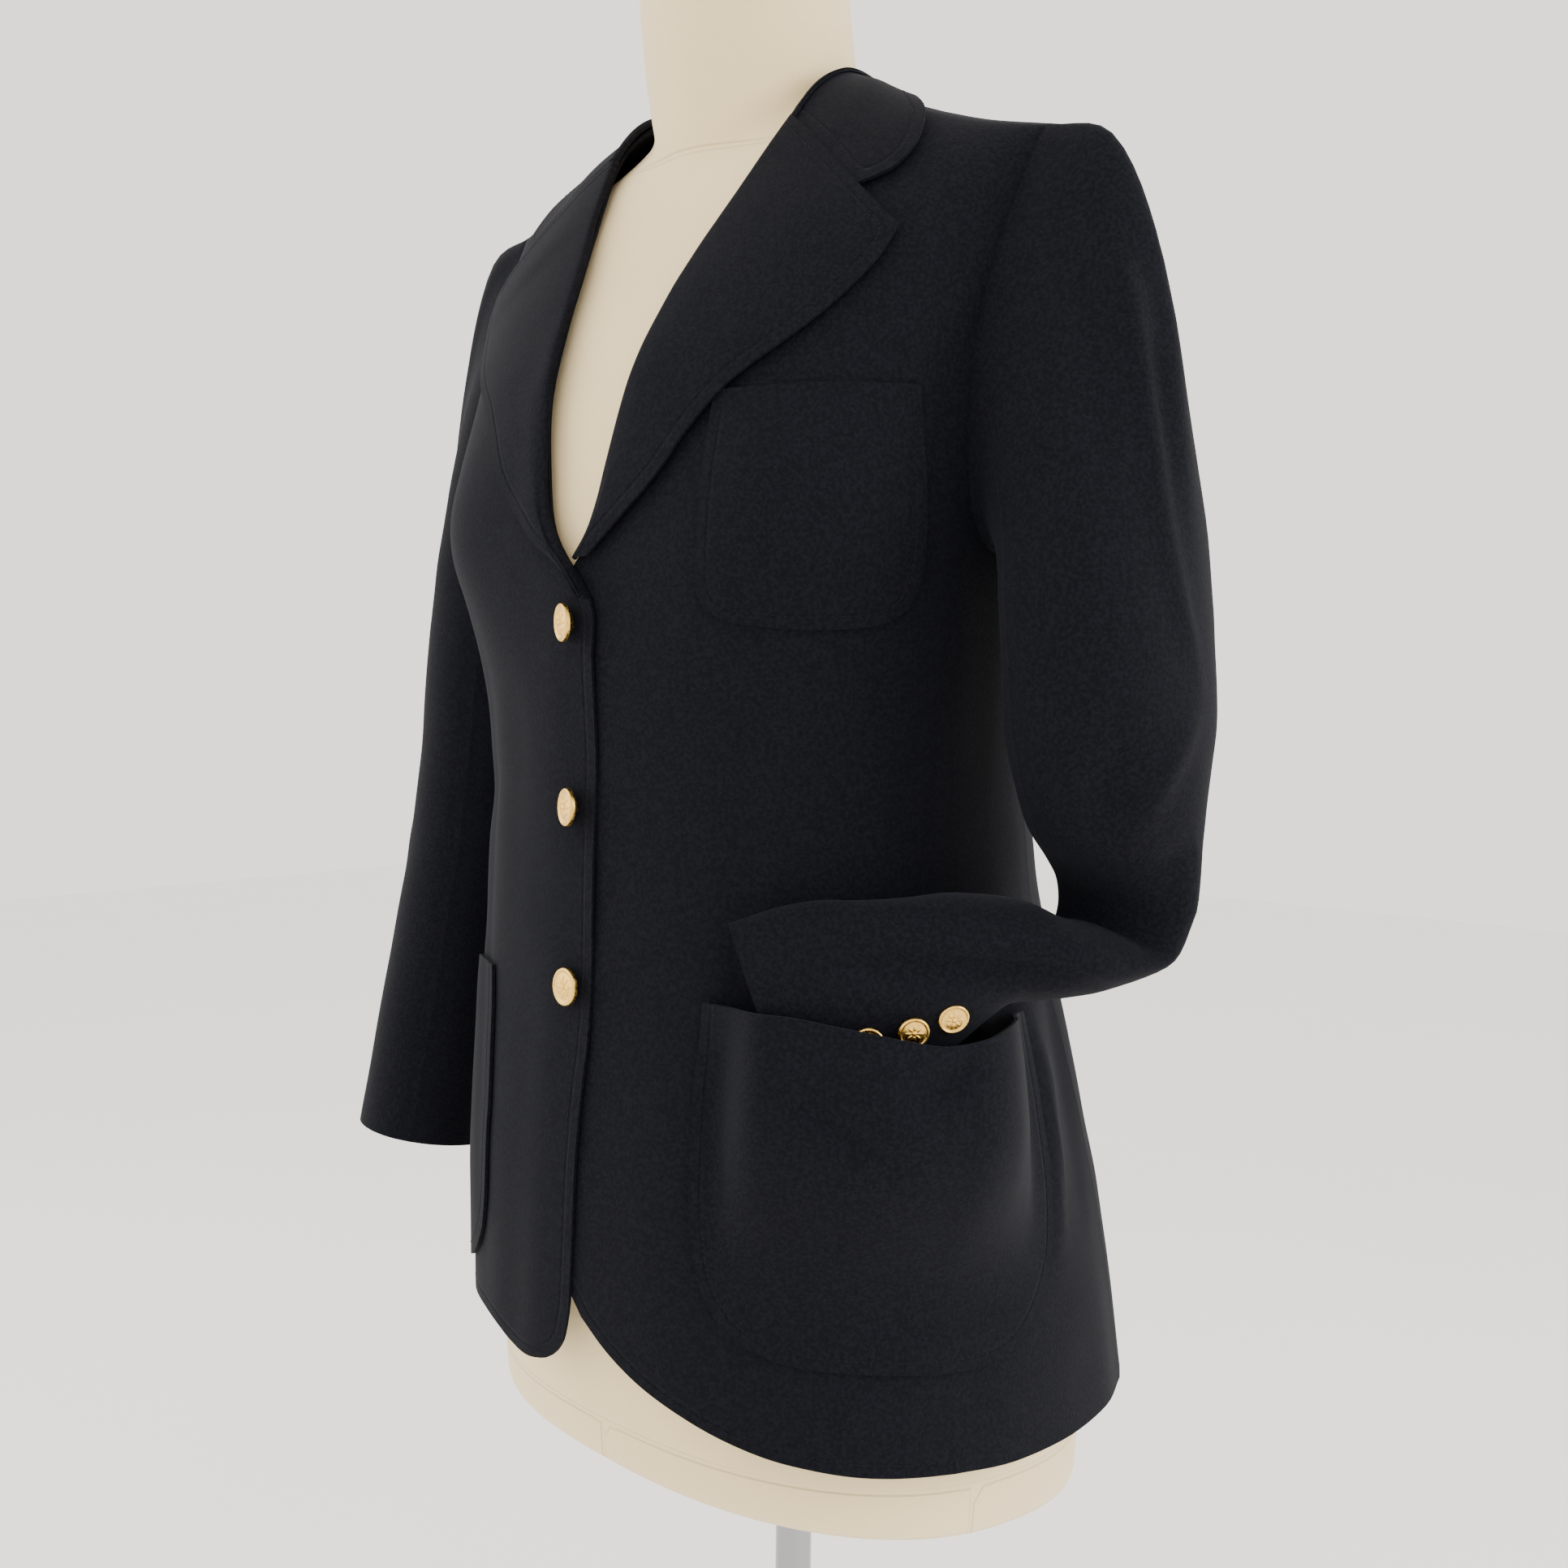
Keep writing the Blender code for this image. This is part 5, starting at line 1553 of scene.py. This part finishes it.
# A bead's corners: its two ends, its two sides, its top and its bottom.
BEAD_FACES = (
    (0, 2, 4),
    (0, 4, 3),
    (0, 3, 5),
    (0, 5, 2),
    (1, 4, 2),
    (1, 3, 4),
    (1, 5, 3),
    (1, 2, 5),
)


def stitch_mesh(name, lines, parent_node):
    """Beads of thread along lines, each lying on the cloth of its piece."""
    cloth = bpy.data.objects[parent_node + "_cloth"]
    points, faces = [], []
    for line in lines:
        reach = np.r_[0, np.cumsum(np.linalg.norm(np.diff(line, axis=0), axis=1))]
        for start in np.arange(STITCH_FIRST, reach[-1] - STITCH_LAST, STITCH_STEP):
            ends = [
                np.array([np.interp(start + more, reach, line[:, k]) for k in range(3)])
                for more in (0, STITCH_LONG)
            ]
            _, place, way, _ = cloth.closest_point_on_mesh(mathutils.Vector((ends[0] + ends[1]) / 2))
            way, place = np.array(way), np.array(place)
            run = (ends[1] - ends[0]) / max(np.linalg.norm(ends[1] - ends[0]), 1e-9)
            aside = np.cross(way, run)
            middle = place + way * THREAD_LIFT
            first = len(points)
            points += [middle - run * STITCH_LONG / 2, middle + run * STITCH_LONG / 2]
            points += [
                middle + aside * THREAD_WIDE,
                middle - aside * THREAD_WIDE,
                middle + way * THREAD_HIGH,
                middle - way * THREAD_LOW,
            ]
            for a, b, c in BEAD_FACES:
                faces.append((first + a, first + b, first + c))
    mesh = bpy.data.meshes.new(name)
    mesh.from_pydata([tuple(p) for p in points], [], faces)
    thread = bpy.data.objects.new(name, mesh)
    bpy.context.scene.collection.objects.link(thread)
    bm = bmesh.new()
    bm.from_mesh(mesh)
    bmesh.ops.recalc_face_normals(bm, faces=bm.faces)
    bm.to_mesh(mesh)
    bm.free()
    mesh.materials.append(THREAD)
    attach(thread, "root")
    return len(faces) // len(BEAD_FACES)


def navy_thread():
    """Twisted thread, a shade lighter than the cloth."""
    material, shader, nodes, links = new_finish("navy_thread", (0.0040, 0.0046, 0.0085), 0.7)
    place = nodes.new("ShaderNodeTexCoord").outputs["Object"]
    bump(nodes, links, shader, noise_at(nodes, links, place, 3000.0, 2.0), 0.0001)
    shader.inputs["Specular IOR Level"].default_value = 0.15
    return material


THREAD = navy_thread()

# %% Sew every stitched edge
by_piece = {}
for name, grid, edge_far, edge, side in edge_paths:
    line = stitch_line(grid, edge_far, edge)
    if len(line) > 3:
        by_piece.setdefault(name, []).append(line)
for name, lines in by_piece.items():
    print(name, "stitches:", stitch_mesh(name + "_topstitch", lines, name))

# %% [markdown]
# ## Buttons
# The front and sleeve buttons are gilt metal: a cupped disc with a raised rim and a small plain
# rosette. One is turned from a cylinder in edit mode, and every other is a copy of its mesh.

# %% The gilt metal
GILT_DARK, GILT_LIGHT = (0.64, 0.36, 0.07), (0.95, 0.63, 0.17)


def gilt():
    """Satin gilt, with a tone and roughness that vary at random."""
    material, shader, nodes, links = new_finish("gilt_metal", (0.80, 0.58, 0.27), 0.26, 1.0)
    place = nodes.new("ShaderNodeTexCoord").outputs["Object"]
    tone = noise_at(nodes, links, place, 700.0, 3.0)
    links.new(
        mixed(nodes, links, tone, GILT_DARK, GILT_LIGHT),
        shader.inputs["Base Color"],
    )
    rough = map_range(nodes, links, tone, 0.3, 0.7, 0.20, 0.38)
    links.new(rough, shader.inputs["Roughness"])
    bump(nodes, links, shader, noise_at(nodes, links, place, 1500.0, 2.0), 0.00008)
    return material


GILT = gilt()


# %% Model one button
SHANK_SHARE = 0.22


def faces_where(mesh_object, test):
    """Selects the faces whose middle and normal pass a test, in edit mode."""
    bpy.ops.mesh.select_all(action="DESELECT")
    bpy.ops.object.mode_set(mode="OBJECT")
    for face in mesh_object.data.polygons:
        face.select = test(face.center, face.normal)
    bpy.ops.object.mode_set(mode="EDIT")


def model_button():
    """A button one unit in radius, lying on z = 0 and facing +Z."""
    bpy.ops.object.select_all(action="DESELECT")
    bpy.ops.mesh.primitive_cylinder_add(
        vertices=48,
        radius=1.0,
        depth=0.22,
        location=(0, 0, 0.13),
        end_fill_type="NGON",
    )
    button = bpy.context.object
    bpy.ops.object.mode_set(mode="EDIT")
    bpy.ops.mesh.select_mode(type="FACE")
    faces_where(button, lambda centre, normal: normal.z > 0.9)
    for inset, rise in (
        (0.05, 0.05),
        (0.07, 0.03),
        (0.06, -0.07),
        (0.10, -0.02),
        (0.16, 0.05),
        (0.18, 0.03),
    ):
        bpy.ops.mesh.inset(thickness=inset, depth=rise)
    faces_where(button, lambda centre, normal: normal.z < -0.9)
    bpy.ops.mesh.inset(thickness=1.0 - SHANK_SHARE * 1.3, depth=0.0)
    bpy.ops.mesh.inset(thickness=SHANK_SHARE * 0.3, depth=0.0)
    bpy.ops.object.mode_set(mode="OBJECT")
    bevel = button.modifiers.new("rim", "BEVEL")
    bevel.width, bevel.segments, bevel.limit_method = 0.035, 3, "ANGLE"
    bpy.ops.object.modifier_apply(modifier=bevel.name)
    petals = []
    for k in range(8):
        turn = 2 * math.pi * k / 8
        bpy.ops.mesh.primitive_uv_sphere_add(
            segments=12,
            ring_count=8,
            radius=0.15,
            location=(0.36 * math.cos(turn), 0.36 * math.sin(turn), 0.285),
        )
        petal = bpy.context.object
        petal.scale = (1.5, 0.75, 0.45)
        petal.rotation_euler = (0, 0, turn)
        petals.append(petal)
    bpy.ops.mesh.primitive_uv_sphere_add(segments=16, ring_count=10, radius=0.17, location=(0, 0, 0.31))
    bpy.context.object.scale = (1, 1, 0.5)
    petals.append(bpy.context.object)
    for thing in (button, *petals):
        thing.select_set(True)
    bpy.context.view_layer.objects.active = button
    bpy.ops.object.join()
    bpy.ops.object.transform_apply(location=True, rotation=True, scale=True)
    bpy.ops.object.shade_smooth_by_angle(angle=math.radians(35))
    button.select_set(False)
    return button


pattern_button = model_button()
print("button faces:", len(pattern_button.data.polygons))


# %% Set a copy on each solid button's place
def set_button(name, radius, place, way, side="left", shank=0.0):
    """A copy of the button at a place, facing a way, with its back drawn out into a shank."""
    mesh = pattern_button.data.copy()
    for point in mesh.vertices:
        if shank and point.co.z < 0.025 and math.hypot(point.co.x, point.co.y) < SHANK_SHARE * 1.5:
            point.co.z = -shank / radius
    turn = mathutils.Vector(way).to_track_quat("Z", "Y").to_matrix().to_4x4()
    mesh.transform(mathutils.Matrix.Translation(place) @ turn @ mathutils.Matrix.Scale(radius, 4))
    if side == "right":
        mesh.transform(mathutils.Matrix.Diagonal((-1, 1, 1, 1)))
        mesh.flip_normals()
    mesh.materials.append(GILT)
    button = bpy.data.objects.new(name + "_gilt", mesh)
    bpy.context.scene.collection.objects.link(button)
    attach(button, "root")
    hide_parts(name)


def blend_of(grid, row, column, down, across):
    """A value between four neighbours of a closed grid."""
    a, b = column % RING, (column + 1) % RING
    first = grid[row][a] * (1 - across) + grid[row][b] * across
    second = grid[row + 1][a] * (1 - across) + grid[row + 1][b] * across
    return first * (1 - down) + second * down


CUFF_BUTTONS = {
    # row of the sleeve's grid, column of it
    "left": ((18.1, 22.1), (19.0, 22.4), (19.9, 22.7)),
    "right": ((13.6, 18.2), (14.3, 18.2), (15.0, 18.2)),
}
BUTTON_GAP = 0.0007
FRONT_TILTS = (
    # degrees towards the wearer's right, length of the shank
    (24.0, 0.0040),
    (22.0, 0.0037),
    (8.0, 0.0022),
)
for k, (height, (tilt, length)) in enumerate(zip(BUTTON_HEIGHTS, FRONT_TILTS)):
    cut = cut_of(np.array([[0.0, height]]))
    place = lifted(cut, lift_at("right", cut) + length + BUTTON_GAP)[0]
    straight = mathutils.Vector(torso_normal(cut[:, 0], cut[:, 1])[0])
    way = mathutils.Matrix.Rotation(-math.radians(tilt), 3, "Z") @ straight
    set_button(f"front_button_{k + 1}", BUTTON_R, place, way, "left", length)
for side in ("left", "right"):
    rings = sleeve_rings(side)
    outs = ways_out(rings, True)
    for k, (row, column) in enumerate(CUFF_BUTTONS[side]):
        low, left = int(row), int(column)
        place = blend_of(rings, low, left, row - low, column - left)
        way = blend_of(outs, low, left, row - low, column - left)
        way /= np.linalg.norm(way)
        set_button(f"sleeve_button_{side}_{k + 1}", CUFF_BUTTON_R, place + way * BUTTON_GAP, way, side)
bpy.data.objects.remove(pattern_button)
print("buttons set:", len(BUTTON_HEIGHTS) + 6)

# %% [markdown]
# ## The dress form
# The form is a light body under a cream jersey cover. Its ring of points at each level comes from
# the same table as the cloth, drawn in, and blends into the neck. The cover's seams are fine
# grooves: one round the neck's root, one round near the bottom, and four short ones below that.

# %% Cream jersey
JERSEY_DARK, JERSEY_LIGHT = (0.76, 0.58, 0.31), (0.84, 0.67, 0.39)


def cream_jersey():
    """Knitted cotton: warm white, matt, with fine ribs, and a groove at its seams."""
    material, shader, nodes, links = new_finish("cream_jersey", (0.74, 0.61, 0.38), 0.85)
    shader.inputs["Sheen Weight"].default_value = 0.25
    shader.inputs["Sheen Roughness"].default_value = 0.5
    place = nodes.new("ShaderNodeTexCoord").outputs["Object"]
    tone = noise_at(nodes, links, place, 9.0, 3.0)
    links.new(
        mixed(nodes, links, tone, JERSEY_DARK, JERSEY_LIGHT),
        shader.inputs["Base Color"],
    )
    bump(nodes, links, shader, noise_at(nodes, links, place, 1400.0, 3.0), 0.00025)
    seam = nodes.new("ShaderNodeAttribute")
    seam.attribute_name = "seam_far"
    line = map_range(nodes, links, seam.outputs["Fac"], 0.0006, 0.0022, 0.0, 1.0)
    bump(nodes, links, shader, line, 0.0009)
    return material


JERSEY = cream_jersey()

# %% The covered body
form_rings = np.stack([form_ring(height) for height in FORM_HEIGHTS])
below, above = form_rings[0].mean(0), form_rings[-1].mean(0)
FOOT_DROP = 0.0130
FOOT_CURVE = ((0.55, FOOT_DROP), (0.80, FOOT_DROP), (0.91, 0.0080), (0.975, 0.0030))
CROWN_CURVE = ((0.95, 0.006), (0.80, 0.011), (0.50, 0.0145))
bottoms = [
    below + (form_rings[0] - below) * share - (0, 0, fall)
    for share, fall in FOOT_CURVE
]
crowns = [
    above + (form_rings[-1] - above) * share + (0, 0, rise)
    for share, rise in CROWN_CURVE
]
form_grid = np.stack([*bottoms, *form_rings, *crowns])
form_grid = np.concatenate([form_grid[:, -3:], form_grid, form_grid[:, :3]], 1)
form_grid = finer(finer(form_grid, 3, 0), 4, 1)[:, 12:12 + FORM_POINTS * 4]
print("form grid:", form_grid.shape)


def form_mesh(grid):
    """A closed body from level rings, with its two ends filled."""
    rows, columns = grid.shape[:2]
    index = np.arange(rows * columns).reshape(rows, columns)
    around = np.roll(index, -1, axis=1)
    faces = np.stack([index[:-1], around[:-1], around[1:], index[1:]], -1).reshape(-1, 4).tolist()
    faces += [index[0][::-1].tolist(), index[-1].tolist()]
    mesh = bpy.data.meshes.new("dress_form_cover")
    mesh.from_pydata(grid.reshape(-1, 3).tolist(), [], faces)
    return mesh


columns = form_grid.shape[1]
front_column, left_column = columns // 2, columns * 3 // 4
NECK_LINE, HIP_LINE = 1.343, 0.643
neck_level = int(np.argmin(np.abs(form_grid[:, 0, 2] - NECK_LINE)))
hip_level = int(np.argmin(np.abs(form_grid[:, :, 2].mean(axis=1) - HIP_LINE)))
form_seams = [form_grid[:hip_level + 1, k] for k in (front_column, left_column, columns // 4, 0)]
for level in (neck_level, hip_level):
    form_seams.append(np.concatenate([form_grid[level], form_grid[level][:1]]))
form_far = distances(form_grid, form_seams)
cover_mesh = form_mesh(form_grid)
cover_mesh.attributes.new("seam_far", "FLOAT", "POINT").data.foreach_set("value", form_far.reshape(-1))
cover_mesh.materials.append(JERSEY)
cover = bpy.data.objects.new("dress_form_cover", cover_mesh)
bpy.context.scene.collection.objects.link(cover)
cover_mesh.shade_smooth()
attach(cover, "root")
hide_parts("dress_form")

# %% [markdown]
# ## The stand
# Under the form is a chromed tube on a heavy round base. The photograph's frame ends above the
# base, so the base is the usual plain enamelled disc.

# %% Chrome and enamel
ENAMEL_DARK, ENAMEL_LIGHT = (0.58, 0.57, 0.55), (0.66, 0.65, 0.63)


def chrome():
    """Polished chrome with faint smears."""
    material, shader, nodes, links = new_finish("tube_chrome", (0.30, 0.30, 0.32), 0.10, 1.0)
    place = nodes.new("ShaderNodeTexCoord").outputs["Object"]
    rough = map_range(nodes, links, noise_at(nodes, links, place, 25.0, 4.0), 0.35, 0.75, 0.05, 0.16)
    links.new(rough, shader.inputs["Roughness"])
    return material


def enamel():
    """Pale grey enamel with a slight orange peel."""
    material, shader, nodes, links = new_finish("pale_enamel", (0.62, 0.61, 0.59), 0.38)
    place = nodes.new("ShaderNodeTexCoord").outputs["Object"]
    links.new(
        mixed(
            nodes,
            links,
            noise_at(nodes, links, place, 6.0, 3.0),
            ENAMEL_DARK,
            ENAMEL_LIGHT,
        ),
        shader.inputs["Base Color"],
    )
    bump(nodes, links, shader, noise_at(nodes, links, place, 260.0, 2.0), 0.0001)
    return material


# %% Pole and base from two cylinders
def cylinder(name, radius, low, high, node, finish, points=64):
    """A cylinder between two heights, left selected."""
    bpy.ops.object.select_all(action="DESELECT")
    bpy.ops.mesh.primitive_cylinder_add(
        vertices=points,
        radius=radius,
        depth=high - low,
        location=(0, 0, (high + low) / 2),
    )
    thing = bpy.context.object
    thing.name = name
    bpy.ops.object.transform_apply(location=True, rotation=False, scale=False)
    thing.data.materials.append(finish)
    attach(thing, "root")
    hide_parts(node)
    return thing


POLE_GAP, POLE_FOOT, RIM_INSET, RIM_WIDE = 0.0003, 0.0005, 0.145, 0.003
pole_top = FORM_BOTTOM - FOOT_DROP - POLE_R * math.hypot(*HIP_TILT) - POLE_GAP
pole_foot = BASE_H + POLE_FOOT
pole = cylinder("stand_pole_tube", POLE_R, pole_foot, pole_top, "stand_pole", chrome(), 48)
base = cylinder("stand_base_plate", BASE_R, 0.0, BASE_H, "stand_base", enamel(), 96)
bpy.context.view_layer.objects.active = base
bpy.ops.object.mode_set(mode="EDIT")
bpy.ops.mesh.select_mode(type="FACE")
faces_where(base, lambda centre, normal: normal.z > 0.9)
bpy.ops.mesh.inset(thickness=RIM_INSET, depth=0.0)
bpy.ops.object.mode_set(mode="OBJECT")
rim = base.modifiers.new("rim", "BEVEL")
rim.width, rim.segments, rim.limit_method = RIM_WIDE, 4, "ANGLE"
bpy.ops.object.modifier_apply(modifier=rim.name)
for thing in (pole, base):
    bpy.ops.object.select_all(action="DESELECT")
    thing.select_set(True)
    bpy.context.view_layer.objects.active = thing
    bpy.ops.object.shade_smooth_by_angle(angle=math.radians(40))
bpy.ops.object.select_all(action="DESELECT")
print("pole and base made")

# %% [markdown]
# ## Floor, light and camera
# The camera stands where the photograph was taken: a little to the wearer's left, level with the
# waist. Large soft lights at both sides give the pale rims on the sleeves that the cloth shows.

# %% Floor
FLOOR_DARK, FLOOR_LIGHT = (0.93, 0.92, 0.89), (0.95, 0.94, 0.91)
FLOOR_SIZE, FLOOR_LOW = 14.0, -0.0005
bpy.ops.mesh.primitive_plane_add(size=FLOOR_SIZE, location=(0, 0, FLOOR_LOW))
floor = bpy.context.object
floor.name = "studio_floor"
floor_finish, floor_shader, floor_nodes, floor_links = new_finish("pale_floor", (0.94, 0.93, 0.90), 0.9)
floor_place = floor_nodes.new("ShaderNodeTexCoord").outputs["Object"]
floor_tone = noise_at(floor_nodes, floor_links, floor_place, 3.0, 2.0)
floor_links.new(
    mixed(floor_nodes, floor_links, floor_tone, FLOOR_DARK, FLOOR_LIGHT),
    floor_shader.inputs["Base Color"],
)
floor.data.materials.append(floor_finish)
bpy.ops.object.transform_apply(location=True, rotation=False, scale=False)

# %% Lights
STUDIO_COLOUR, STUDIO_STRENGTH = (1.0, 0.97, 0.905, 1.0), 1.85
world = bpy.data.worlds.new("studio")
bpy.context.scene.world = world
world.use_nodes = True
world.node_tree.nodes["Background"].inputs["Color"].default_value = STUDIO_COLOUR
world.node_tree.nodes["Background"].inputs["Strength"].default_value = STUDIO_STRENGTH


def soft_light(name, place, target, size, power):
    """A large square light that looks at a point."""
    data = bpy.data.lights.new(name, "AREA")
    data.shape, data.size, data.energy = "SQUARE", size, power
    light = bpy.data.objects.new(name, data)
    bpy.context.scene.collection.objects.link(light)
    light.location = place
    away = mathutils.Vector(target) - mathutils.Vector(place)
    light.rotation_euler = away.to_track_quat("-Z", "Y").to_euler()


SOFT_LIGHTS = (
    # name, place, target, size, power
    ("window", (-2.2, -1.6, 1.9), (0, 0, 1.0), 3.2, 55.0),
    ("side_fill", (2.4, 0.9, 1.8), (0.1, 0, 1.0), 1.6, 60.0),
    ("front_fill", (1.2, -2.6, 1.9), (0, 0, 1.0), 2.4, 14.0),
)
for light_values in SOFT_LIGHTS:
    soft_light(*light_values)

# %% Camera
EYE = (0.694, -0.820, 1.064)
RIGHT, UP, BACK = (0.75519, 0.65536, 0.01393), (-0.05280, 0.03963, 0.99782), (0.65338, -0.75428, 0.06453)
camera_data = bpy.data.cameras.new("camera")
LENS, SENSOR = 41.26, 36.0
camera_data.lens, camera_data.sensor_width = LENS, SENSOR
camera = bpy.data.objects.new("camera", camera_data)
bpy.context.scene.collection.objects.link(camera)
turn = mathutils.Matrix((RIGHT, UP, BACK)).transposed().to_4x4()
camera.matrix_world = mathutils.Matrix.Translation(EYE) @ turn
bpy.context.scene.camera = camera

# %% Print the cut sizes
print("cut sizes:", cut_sizes)
